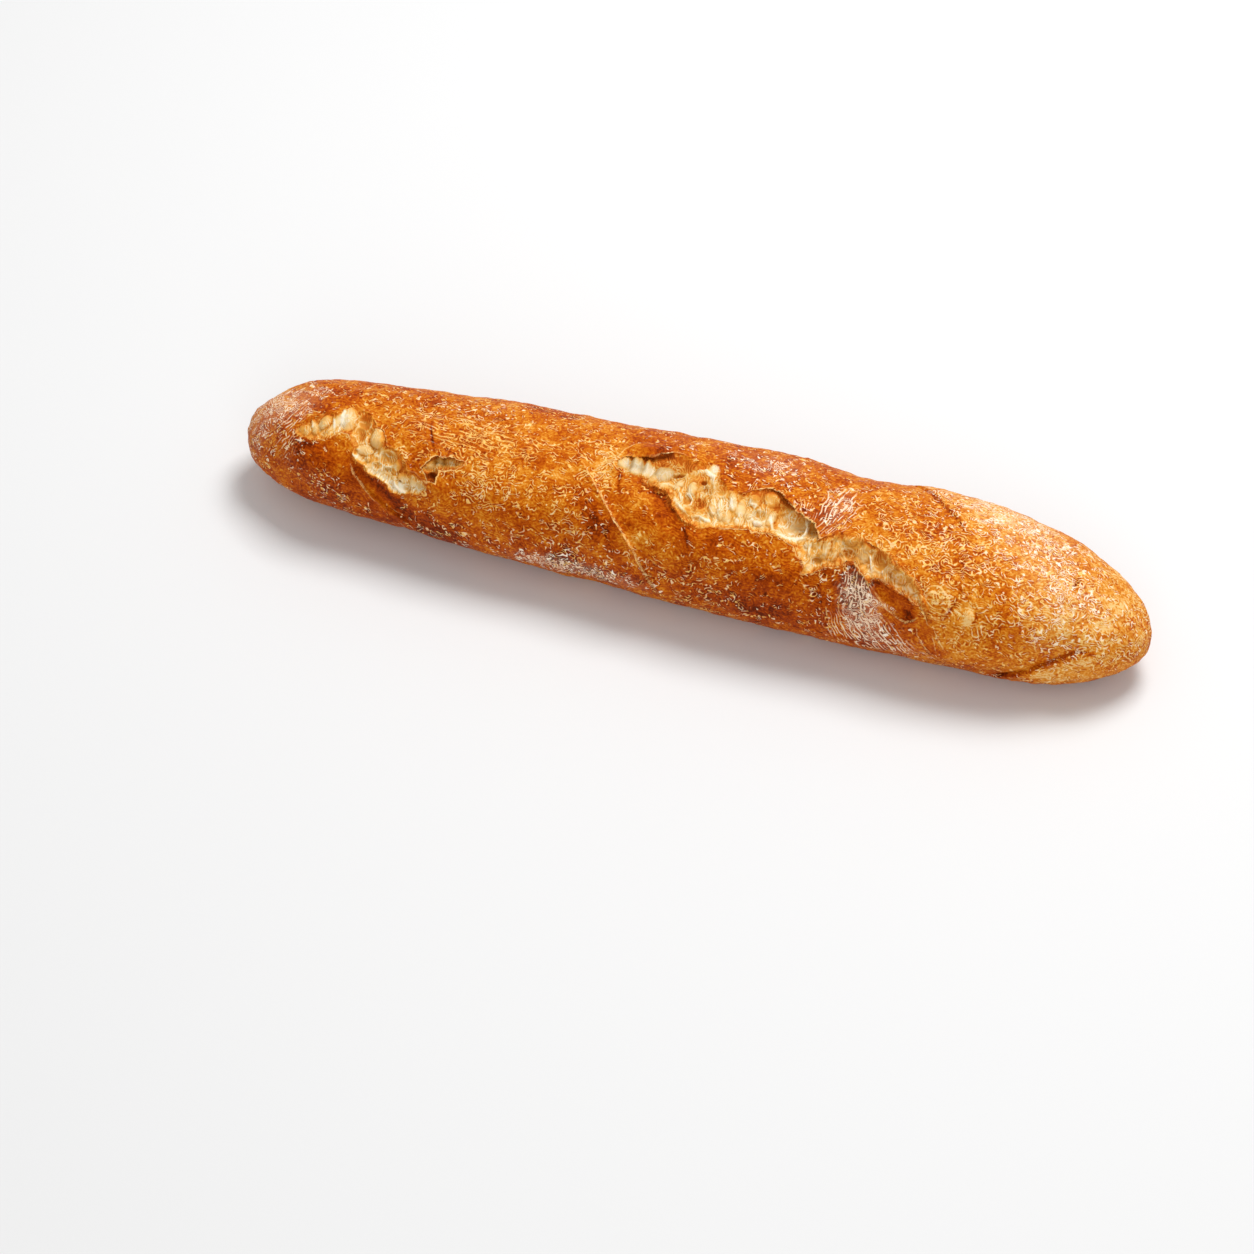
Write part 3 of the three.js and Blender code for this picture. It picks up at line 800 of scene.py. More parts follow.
@dataclass
class LoafRelief:
    """Everything that raises, sinks or folds the skin of the loaf. All sizes are in millimetres."""

    form: LoafForm
    bursts: tuple[Burst, ...] = (LEFT_BURST, SIDE_HOLE, LONG_BURST)
    seams: tuple[Seam, ...] = SEAMS
    lip_reach: float = 4.5
    curl: Band = Band(0.1, 0.9)
    lower_reach: float = 2.04
    upper_reach: float = 5.1
    tear_width: float = 0.45
    crust_share: float = 0.5
    squeeze: Band = Band(0.72, 1.0)
    lean: Band = Band(0.5, 1.1)
    ragged: float = 0.24
    fine_ragged: float = 0.08
    still: float = 0.12
    ring_width: float = 0.35
    bowl_power: float = 0.8
    pillow_power: float = 0.7
    # Painted shade: how quickly it fills a cell's bottom, and how dark the creases between pillows are
    # painted.
    shade_gain: float = 1.4
    crease_rise: float = 0.35
    crease_shade: float = 0.5
    rim_share: float = 0.5
    rim_fade: float = 0.5
    fold_rise: float = 0.6
    fold_sink: float = 0.6
    wall_start: float = 0.2
    puff_rise: float = 1.1
    settle: float = 0.8
    blister_margin: float = 1.5
    seam_margin: float = 3.0
    edge_grain: float = 0.4
    strand_stretch: tuple[float, float, float] = (1.0, 0.35, 0.35)
    cells: dict[str, list[Cell]] = field(default_factory=dict)

    def __post_init__(self) -> None:
        """Makes the random fields and fills each burst with small cells."""
        self.slow = Ripples(wavelength=15.0, seed=1, height=0.1)
        self.lumpy = Ripples(wavelength=5.5, seed=2, height=0.1)
        self.grainy = Ripples(wavelength=1.9, seed=3, height=0.045)
        self.frayed = each(Ripples, (4.5, 4), (4.5, 5), (1.4, 6), (1.4, 7))
        self.crumbly = Ripples(wavelength=1.5, seed=8, height=0.05)
        self.ribbed = Ripples(wavelength=1.5, seed=9, height=0.09)
        for burst in self.bursts:
            self.cells[burst.name] = [*burst.cells, *Filler().cells(burst)]

    def fray(self, places: Places) -> Places:
        """Wanders places a little, so that the torn edges read there come out ragged.

        Args:
            places: the places on the sheet.

        Returns:
            The wandered places.
        """
        at = self.form.skin(places)
        wide_x, wide_g, fine_x, fine_g = (ripples.at(at) for ripples in self.frayed)
        return Places(places.along + self.ragged * wide_x + self.fine_ragged * fine_x,
                      places.girth + self.ragged * wide_g + self.fine_ragged * fine_g)

    def read_bursts(self, places: Places) -> BurstReading:
        """Finds what the bursts do, each place being read from the burst that it lies deepest in.

        Args:
            places: the places on the sheet.

        Returns:
            The reading of the burst nearest to each place.
        """
        result, *others = (burst.reading(places, number) for number, burst in enumerate(self.bursts))
        for reading in others:
            result.take(reading, reading.depth > result.depth)
        return result

    def of_burst(self, name: str, reading: BurstReading) -> np.ndarray:
        """One of the bursts' numbers, such as their sink, at each place."""
        return np.array([getattr(burst, name) for burst in self.bursts])[reading.burst.astype(int)]

    def gather(self, places: Places) -> Places:
        """Draws the mesh towards the torn edges, so that they come out crisp.

        Args:
            places: the places on the sheet.

        Returns:
            The new places, with none of them moved across an edge.
        """
        frayed = self.fray(places)
        reading = self.read_bursts(frayed)
        to_x, to_g = reading.to_edge(frayed)
        pull = self.squeeze.at(reading.depth)
        return places.moved(to_x * pull, to_g * pull)

    def burst_crumb(self, burst: Burst, places: Places) -> CrumbReading:
        """Reads one burst's air cells, pillows and folds.

        Args:
            burst: the burst.
            places: the places inside it.

        Returns:
            The crumb's height, the painted shade in its hollows and creases, and where its walls and pillows
            stand.
        """
        bowl, pillow, dark, ring, crease, fold = places.zeros(6)
        for cell in self.cells[burst.name]:
            spread = cell.spread(places)
            inner = np.clip(1.0 - spread, 0.0, 1.0)
            line = bell((spread - 1.0) / self.ring_width)
            if cell.amount > 0:
                bowl = np.maximum(bowl, cell.amount * inner ** self.bowl_power)
                # Painted shade at the bottom of each open cell.
                dark = np.maximum(dark, cell.shade * smooth(self.shade_gain * inner))
                ring = np.maximum(ring, line)
            else:
                pillow = np.maximum(pillow, -cell.amount * inner ** self.pillow_power)
                crease = np.maximum(crease, line)
        for ridge in burst.folds:
            fold = np.maximum(fold, ridge.at(places))
        # Painted shade in the creases between pillows, but not on the pillows.
        crease *= 1.0 - smooth(pillow / self.crease_rise)
        rims = self.rim_share * ring * (1.0 - smooth(bowl / self.rim_fade))
        rims *= 1.0 - smooth(pillow / self.rim_fade)
        return CrumbReading(
            height=np.maximum(pillow - bowl, fold - self.fold_sink * bowl),
            hollow=np.maximum(dark, self.crease_shade * crease) * (1.0 - smooth(fold / self.fold_rise)),
            wall=np.maximum(smooth((fold - self.wall_start) / self.fold_rise), rims),
            puff=smooth(pillow / self.puff_rise))

    def crumb(self, reading: BurstReading, places: Places, at: np.ndarray) -> CrumbReading:
        """Reads the crumb of every burst.

        Args:
            reading: what the bursts do at each place.
            places: the places on the sheet.
            at: the same places on the plain skin.

        Returns:
            What the crumb does, and 0 outside the bursts.
        """
        result = CrumbReading(*places.zeros(4))
        for number, burst in enumerate(self.bursts):
            mine = (reading.burst == number) & (reading.depth > 0.0)
            for name, values in vars(self.burst_crumb(burst, places.only(mine))).items():
                getattr(result, name)[mine] = values
        result.height += self.crumbly.at(at) + self.ribbed.at(at * np.array(self.strand_stretch))
        settled = smooth(reading.depth / self.settle)
        return CrumbReading(*(values * settled for values in vars(result).values()))

    def height(self, reading: BurstReading, places: Places) -> tuple[np.ndarray, CrumbReading]:
        """Works out the height of the surface over the plain skin.

        Args:
            reading: what the bursts do at each place.
            places: the places on the sheet.

        Returns:
            The heights, and what the crumb does.
        """
        at = self.form.skin(places)
        base = total(SWELLS, places) + self.slow.at(at)
        for height, turns, rounds, phase in WAVES:
            angle = 2 * math.pi * turns * places.along / self.form.length
            base += height * np.sin(angle + rounds * places.girth / self.form.girth_radius + phase)

        depth, lip = reading.depth, reading.lip
        outside = smooth(-depth / self.seam_margin)
        crust = total(BLISTERS, places) * smooth(-depth / self.blister_margin)
        crust += sum(seam.height(places) for seam in self.seams) * outside
        grain = self.edge_grain + (1.0 - self.edge_grain) * outside
        crust += (self.lumpy.at(at) + self.grainy.at(at)) * grain
        crust += self.crust_share * lip * bell(depth / self.lip_reach) + self.curl.at(depth)

        # The crumb falls away more slowly under the upper edge than it does over the lower one.
        slope = self.lower_reach + (self.upper_reach - self.lower_reach) * reading.upward
        fall = self.of_burst("sink", reading) * smooth(depth / slope)
        crumb = self.crumb(reading, places, at)
        crumb_height = -(1.0 - self.crust_share) * lip - fall + crumb.height + total(FILLED, places)
        return base + crust + (crumb_height - crust) * smooth(depth / self.tear_width), crumb

    def surface(self, places: Places) -> tuple[np.ndarray, BurstReading, CrumbReading]:
        """Builds the finished surface.

        Args:
            places: the places on the sheet, already gathered.

        Returns:
            The points in millimetres, and what the bursts and the crumb do there.
        """
        frayed = self.fray(places)
        reading = self.read_bursts(frayed)
        height, crumb = self.height(reading, places)
        to_x, to_g = reading.to_edge(frayed)
        away = np.hypot(to_x, to_g) + 1e-6
        lean = reading.lip * self.lean.at(reading.depth) * (1 - bell(away / self.still))
        point = self.form.skin(places.moved(to_x / away * lean, to_g / away * lean))
        raised = height * smooth(point[:, 2] / self.form.base_blend)
        made = point + self.form.outward(point) * raised[:, None]
        made[:, 2] = np.maximum(made[:, 2], 0.0)
        return made, reading, crumb


# ------------------------------------------------------------------ how the skin was baked
class Layer(Enum):
    """What the finish reads from the mesh.

    Depth and seam are distances in millimetres, the comb's phase and run are counts, and the others are
    masks: soft is an edge without a lip, puff a smooth pillow, and combed a patch of fine strokes. Hollow
    shade is painted shade in the crumb's hollows; bake and toast carry some painted shade too, and toast
    some painted highlight on the pillows.
    """

    DEPTH = "depth"
    SEAM = "seam"
    SOFT = "soft"
    TOAST = "toast"
    HOLLOW = "hollow"
    BAKE = "bake"
    FLOUR = "flour"
    FLECK = "fleck"
    RIM = "rim"
    WALL = "wall"
    PUFF = "puff"
    COMBED = "combed"
    COMB_PHASE = "comb_phase"
    COMB_RUN = "comb_run"


# Browning over or under the loaf's usual shade: above 0 is darker. Some rows are painted shadow: under
# the bursts' lower edges, beside the blister, beside the stretched seam, above the end fold and at the
# end of the flap's hollow.
BROWNING_AND_SHADE = each(Swell,
    (-70, 38, 34, 11, -0.1), (-110, 42, 10, 6, -0.08), (-88, 52, 20, 8, 0.06), (-28, 38, 8, 9, -0.2, -35),
    (-36, 34, 5, 4, -0.06), (-122, 8, 22, 12, 0.26), (-131.5, 21.2, 4.5, 1.7, 0.36),
    (-104, 10, 11, 2.6, 0.16, -42), (-116, -8, 50, 14, 0.12), (-80, -12, 16, 10, 0.25),
    (-58, 12, 18, 12, 0.06), (-98, 4, 11, 5, 0.34, -45), (-82, -2, 9, 7, 0.22), (-60, 8, 16, 9, 0.08),
    (-27, 18, 7, 9, 0.18, -40), (-22, 13.5, 15, 3, 0.22, -53), (-29, 40, 7, 8, -0.1), (93, 28, 5, 5, 0.2),
    (101, 5, 9, 7, -0.12), (-26, -7, 16, 5, 0.14), (83, 42, 8, 6, 0.1), (-128, 44, 8, 5, 0.08),
    (-38, 15, 7, 7, -0.1), (-105, 5, 6, 2.4, -0.26, -42), (-100, 12, 14, 5, -0.1, -42),
    (0, 54, 10, 5, -0.06), (-128, 17, 9, 7, 0.12), (-10, 54, 12, 5, 0.16), (-98, 50, 14, 7, 0.1),
    (-8, 22, 7, 14, 0.08, -50), (12, 20, 9, 6, 0.12), (142, -2, 10, 6, 0.14), (-36, 2, 9, 9, 0.1, -40),
    (-10, 22, 8, 12, -0.04, -45), (-9, 33.6, 5, 1.8, 0.25, -30), (-1, 27, 3, 4, 0.22, -45),
    (-2, 8, 9, 18, 0.08, -40), (-5, 33, 6, 3, 0.3, -30), (-15, 46.6, 7, 2.4, 0.06), (38, -6, 22, 9, 0.18),
    (104, -14, 14, 8, 0.16), (26, 14, 20, 10, 0.14), (28, 2, 22, 8, 0.2), (54, 10, 8, 12, 0.2),
    (20, 50, 26, 8, 0.06), (60, 62, 16, 7, 0.1), (68, 42, 14, 8, -0.06), (80, 34, 12, 6, -0.14),
    (93, 20, 7, 9, -0.2), (78.8, 13.8, 6.6, 3.8, 0.12, -28), (81.8, 10.6, 1.6, 1.4, 0.24),
    (83, 4, 9, 6, 0.2), (-18, -4, 18, 6, 0.14), (66, 14, 5, 7, 0.26), (83.6, 9.4, 2, 2.2, 0.42),
    (71.4, 20, 2.6, 1.6, 0.14), (65, 13, 5.5, 8.5, 0.66, 12), (-20, 46.6, 3.5, 2.4, -0.18),
    (-11, 47.4, 3, 2.4, 0.24), (-15, 27, 4.5, 9, -0.16, -50), (-10, 15, 2, 6, -0.2, -60),
    (15, 12, 14, 9, -0.1), (18, 52, 14, 7, 0.06), (100, 10, 10, 8, -0.06), (-50, 12, 26, 10, -0.05),
    (128, 7, 9, 5, -0.1, 30), (-76, 40, 24, 7, 0.08), (-32, 38, 8, 8, 0.14), (72, -4, 9, 9, 0.25, 15),
    (48, 40, 8, 5, 0.2), (108, 58, 34, 15, -0.34), (126, 28, 26, 16, -0.18), (130, 12, 14, 8, -0.02),
    (128, -4, 14, 5, -0.02), (44, 10, 10, 8, -0.08), (70, 24, 14, 8, -0.04), (26, 21, 18, 4.5, 0.12),
    (43.4, 22.8, 2.4, 3, -0.3), (-23.4, 38.2, 1.4, 1.6, 0.14), (-27.5, 41.5, 5, 5, -0.1),
    (103.3, 14.5, 1.7, 2.8, -0.7), (-45, -4, 20, 6, 0.16), (-104, 24, 16, 10, -0.06),
    (-75, 8, 14, 7, -0.06), (104, 0, 16, 12, -0.06), (136, -4, 16, 8, -0.08), (118, 6, 16, 8, 0.02),
    (127.6, 1.6, 10, 2.2, 0.12, 42), (134, -1.8, 9, 2.6, -0.26, 42), (152, 34, 14, 34, -0.26),
    (143, 3, 5, 4, -0.22), (145.4, 2.6, 1.2, 1.5, 0.6), (143.2, 8.6, 1.3, 0.9, 0.4),
    (137, 7.2, 1.3, 1.2, 0.3), (137.6, 31, 0.6, 1.6, 0.4), (140, -8, 16, 8, -0.14))
# Flour and flecks over or under the loaf's usual amount.
FLOURED = each(Swell,
    (-154, 30, 12, 34, 0.62), (-140, 44, 12, 12, 0.62), (-76, -4, 14, 7, -0.3), (15, -6, 16, 8, -0.3),
    (-70, 54, 12, 6, 0.34), (-26, -6, 28, 6, 0.7), (-50, -10, 20, 8, 0.26), (65, 13, 6.5, 9, 0.9, 8),
    (71, 6, 4.5, 6, 0.6), (76.5, 10.8, 7, 1.3, 0.7, -24), (71, -3, 12, 8, 0.5, -10),
    (79, 13, 7, 4, -0.4, -32), (25, 12, 26, 10, -0.14), (-104, 6, 12, 4, -0.3, -42),
    (52, 41, 5, 9, 0.55, -20), (28, 54, 11, 6, 0.3), (10, 56, 40, 9, 0.34), (-100, -2, 14, 6, -0.3, -45),
    (-118, 22, 9, 8, -0.3), (-70, 36, 26, 8, -0.16), (106, 60, 30, 13, 0.66), (134, 33, 20, 17, 0.46),
    (130, 9, 18, 12, 0.26), (116, 44, 18, 12, 0.26), (28, 46, 18, 5, 0.16), (133.8, 41, 0.9, 5, -0.6),
    (86, -8, 8, 8, 0.3), (156, 30, 8, 50, 0.16))
FLECKED = each(Swell,
    (-66, 26, 26, 22, 0.35), (-70, 42, 30, 12, 0.25), (-36, 16, 12, 18, 0.2), (112, 36, 34, 26, 0.45),
    (80, 38, 16, 10, 0.3), (104, 56, 28, 12, 0.2), (-105, 8, 13, 4.6, -1.1, -46),
    (-122, 12, 16, 13, -0.25), (-9, 20, 8, 22, -0.34, -50), (-2, 10, 6, 14, -0.2, -40),
    (79, 13, 8, 5, -0.9, -32), (84, 2, 8, 5, -0.3), (-28, 38, 8, 8, 0.45), (134, 5, 16, 14, 0.34),
    (-14, 30, 7, 5, -0.25), (-24, 14, 14, 4, 0.2, -53), (92, 18, 6, 7, 0.45), (-34, 38, 6, 8, 0.2),
    (142, 20, 16, 24, 0.25), (-15, 46.6, 7, 2.6, -0.7), (62, 62, 16, 6, -0.35), (26, 46, 20, 5, 0.26),
    (-30, -4, 32, 6, 0.24), (-82, 14.5, 3, 3, -0.8), (129, 0.5, 11, 3.6, -0.5, 42),
    (103.3, 14.5, 2.4, 3.4, -0.8))
# Where the torn edge has no pale line: 1 takes it away.
DULLED = each(Swell,
    (-17, 44.5, 9, 4, 1), (76, 19, 9, 4, 0.6, -30), (-106, 12, 10, 3, 0.5, -40))
# Painted soft shade in the crumb's wide hollows: 0 is none, 1 is deep.
SHADED = each(Swell,
    (-4.5, 42.5, 6.5, 3.6, 0.6), (-19.4, 41, 0.8, 3.4, 0.45), (-15.6, 41, 0.8, 3.2, 0.4),
    (-11, 41, 1, 2.8, 0.4), (7.2, 39.4, 2.4, 2.8, 0.55), (11.2, 40.6, 2.2, 4.4, 0.45, -30),
    (27, 34.4, 3, 2.6, 0.5), (33.4, 38.4, 2.6, 3, 0.45), (42.8, 34.4, 3.4, 2.6, 0.6, -30),
    (46.4, 32.6, 2, 3.2, 0.5), (50.2, 22.6, 2.2, 2.4, 0.6), (60.2, 29.4, 4.6, 4.4, 0.2),
    (70.4, 27, 3, 2.6, 0.3), (-133, 26.4, 3, 1.8, 0.3), (-128.2, 30.4, 0.9, 3.6, 0.4),
    (-112.6, 37, 2.6, 2.4, 0.5), (-112.6, 30.4, 1.8, 3.8, 0.45), (-108, 26.4, 3, 1.6, 0.35),
    (-102, 22.6, 3, 3, 0.5), (-100.6, 17, 1.8, 1.8, 0.6), (-92.9, 11.6, 1.6, 1.6, 0.35),
    (-87.8, 14.2, 2.4, 1.8, 0.45), (-84.7, 25.4, 0.7, 2.6, 0.6), (-81.7, 26.8, 0.7, 2, 0.6),
    (-82, 26, 6, 4, 0.64), (-17.5, 41.4, 6.5, 3.6, 0.46))
# Toasting of the crumb over or under its burst's own: above 0 is darker. Some rows are painted shade
# under the crust's overhangs, such as under the blister and over the big bowl.
TOASTED_AND_SHADE = each(Swell,
    (-124.6, 25, 7, 1.2, 0.1), (-133, 33.6, 4, 1.6, 0.3), (-127, 37, 4, 1.2, 0.25),
    (-121, 36, 2, 6, -0.25), (-112.5, 38, 4, 3, 0.1), (-112.6, 32, 3, 4, 0.04),
    (-102.6, 28, 3.4, 3, 0.12), (-100.4, 23, 4.4, 3.6, -0.14), (-90, 12.6, 5.4, 3.4, -0.24),
    (-95, 24.4, 2.6, 4.6, 0.46), (-93.4, 18.6, 2.4, 2.4, 0.16), (-104, 13.6, 7, 2.4, -0.38, -28),
    (-112.4, 20.4, 1.6, 3.4, -0.25), (-96, 10, 2.6, 3, -0.3), (-84.4, 19.2, 2.4, 2.4, 0.6),
    (-11.4, 37.6, 2.2, 2.2, 0.2), (-17.5, 40.6, 7, 3.4, -0.16), (-17, 44, 8, 1, 0.36),
    (5.4, 41.6, 3.8, 3.2, 0.16), (27.5, 31, 3, 2.4, -0.26), (82.4, 18, 6, 1.6, -0.2, -26),
    (87.5, 14.5, 3, 3, 0.16, -40), (43.8, 33, 0.9, 3.4, 0.2), (33.4, 34, 0.9, 4, 0.14),
    (-1, 46.4, 6.5, 3, 0.3), (-10, 47, 3, 3, 0.3), (3.4, 41.6, 3.4, 3, 0.12), (8, 46, 2.6, 2.4, -0.3),
    (7.4, 33.2, 3, 3.4, 0.36), (1.6, 31, 3.6, 3, 0.16), (-3, 35.4, 3, 2, 0.22),
    (7, 27.4, 8, 2.2, 0.16, -8), (24.6, 38.8, 2.6, 2.6, 0.26), (33, 39.4, 3.4, 2.4, 0.36),
    (28.6, 42, 3.5, 1.4, 0.2), (31.6, 30.4, 2.4, 2.4, 0.16), (38, 31, 5.5, 3.6, -0.14, -24),
    (42.8, 24.6, 2.6, 3, 0.22), (55, 34.2, 5, 1.4, 0.2), (67, 32.4, 2.4, 1.2, 0.5),
    (70.6, 28, 3.4, 3.4, 0.06), (76, 29, 5, 2.4, 0.16), (66, 28, 13, 7, 0.1), (54, 27, 7, 7, 0.1),
    (84, 22, 4, 3, 0.14, -40), (78, 22.8, 5, 3, 0.08, -30))


@dataclass
class LoafBake:
    """Works out the masks that the finish reads, from what the surface does."""

    relief: LoafRelief
    usual_bake: float = 0.48
    usual_fleck: float = 0.36
    usual_flour: float = 0.14
    base_reach: float = 8.0
    base_bake: float = 0.10
    base_flour: float = 0.42
    every_edge: Band = Band(0.12, 0.8)
    sunk_edge: Band = Band(0.30, 1.4)
    # Toast under a raised crust lip is partly painted shade.
    raised_edge: Band = Band(0.35, 1.1)
    soft_edge: Band = Band(0.20, 2.4)
    pale_edge: Band = Band(1.0, 2.0)
    lip_shade: Band = Band(0.10, 2.0)
    lip_shade_place: float = 1.5
    high_lip: float = 0.9
    full_lip: float = 0.8
    some_lip: float = 0.5
    sunk_lip: float = 0.6
    wall_relief: float = 0.7
    shade_margin: float = 2.6
    flour_margin: float = 0.8
    seam_margin: float = 2.0
    fleck_range: tuple[float, float] = (-0.5, 1.0)
    # Painted shade toasts the hollows; the walls come out paler, and the pillows paler as painted highlight.
    hollow_toast: float = 0.20
    wall_toast: float = -0.18
    puff_toast: float = -0.14
    far_seam: float = 9.0
    depth_limit: float = 5.0

    def toast(self, reading: BurstReading, crumb: CrumbReading, places: Places,
              soft: np.ndarray) -> np.ndarray:
        """Works out the crumb's toast, with painted shade in hollows and painted highlight on pillows.

        Args:
            reading: what the bursts do at each place.
            crumb: what the crumb does at each place.
            places: the places on the sheet.
            soft: where the edge has no lip.

        Returns:
            The crumb's shade, from 0 for cream to 1 for brown.
        """
        depth, lip = reading.depth, reading.lip
        edge = self.every_edge.at(depth) + self.sunk_edge.at(depth) * smooth(-lip / self.sunk_lip)
        edge += self.raised_edge.at(depth) * smooth(lip / self.full_lip)
        toast = self.relief.of_burst("toast", reading) + total(TOASTED_AND_SHADE, places) + edge
        toast += soft * self.soft_edge.at(depth) + self.hollow_toast * crumb.hollow
        return toast + self.wall_toast * crumb.wall + self.puff_toast * crumb.puff

    def masks(self, places: Places, points: np.ndarray, reading: BurstReading,
              crumb: CrumbReading) -> dict[Layer, np.ndarray]:
        """Works out every mask.

        Args:
            places: the places on the sheet.
            points: the finished surface, in millimetres.
            reading: what the bursts do at each place.
            crumb: what the crumb does at each place.

        Returns:
            One value for each place and layer.
        """
        depth, lip = reading.depth, reading.lip
        soft = reading.upward * (1.0 - smooth(lip / self.full_lip))
        under = smooth((self.base_reach - points[:, 2]) / self.base_reach)
        bake = self.usual_bake + total(BROWNING_AND_SHADE, places)
        rim = self.relief.of_burst("rim", reading) * (1.0 - soft) * self.pale_edge.at(depth)
        rim *= smooth(lip / self.some_lip) * (1.0 - total(DULLED, places))
        from_seam = np.full_like(depth, self.far_seam)
        outside = smooth(-depth / self.seam_margin)
        for seam in self.relief.seams:
            near, strength = seam.nearest(places)
            # A dark seam paints shade into its crease, or a dark crack into the flour.
            bake += seam.dark * strength * bell(near.distance / seam.width) * outside
            closer = (near.distance < from_seam) & (seam.pale > 0.0)
            from_seam = np.where(closer, near.distance, from_seam)
            rim = np.where(closer & (near.distance < -depth), seam.pale * strength, rim)
        bake += self.lip_shade.at(depth + self.lip_shade_place) * (lip > self.high_lip)
        bake += self.base_bake * under
        flour = self.usual_flour + total(FLOURED, places) + self.base_flour * under
        combed = self.comb(places)
        # Painted shade in the crumb's hollows, less on its walls.
        shaded = np.maximum(crumb.hollow, total(SHADED, places) * (1.0 - self.wall_relief * crumb.wall))
        masks = {
            Layer.SOFT: soft,
            Layer.TOAST: self.toast(reading, crumb, places, soft),
            Layer.HOLLOW: (1.0 - soft * bell(depth / self.shade_margin)) * shaded,
            Layer.WALL: crumb.wall,
            Layer.PUFF: crumb.puff,
            Layer.BAKE: bake,
            Layer.FLOUR: flour * smooth(-depth / self.flour_margin),
            Layer.RIM: rim,
            Layer.COMBED: combed.strength,
        }
        masks = {layer: np.clip(values, 0.0, 1.0) for layer, values in masks.items()}
        return masks | {
            Layer.DEPTH: np.clip(depth, -self.depth_limit, self.depth_limit),
            Layer.SEAM: from_seam,
            Layer.COMB_PHASE: combed.count,
            Layer.COMB_RUN: combed.lengths,
            Layer.FLECK: np.clip(self.usual_fleck + total(FLECKED, places), *self.fleck_range),
        }

    def comb(self, places: Places) -> CombReading:
        """Reads the comb that is strongest at each place.

        Args:
            places: the places on the sheet.

        Returns:
            The strongest comb's reading, and 0 where there is none.
        """
        best = CombReading(*places.zeros(3))
        for comb in COMBS:
            found = comb.reading(places)
            best.take(found, found.strength > best.strength)
        return best


# ------------------------------------------------------------------ the loaf's mesh
def stand(name: str, data: bpy.types.ID) -> bpy.types.Object:
    """Makes an object of some data and puts it into the scene."""
    made = bpy.data.objects.new(name, data)
    bpy.context.scene.collection.objects.link(made)
    return made


class Fineness(Enum):
    """How finely a square of the skin is split: the side of its faces, in fine steps."""

    COARSE = 4
    MEDIUM = 2
    FINE = 1


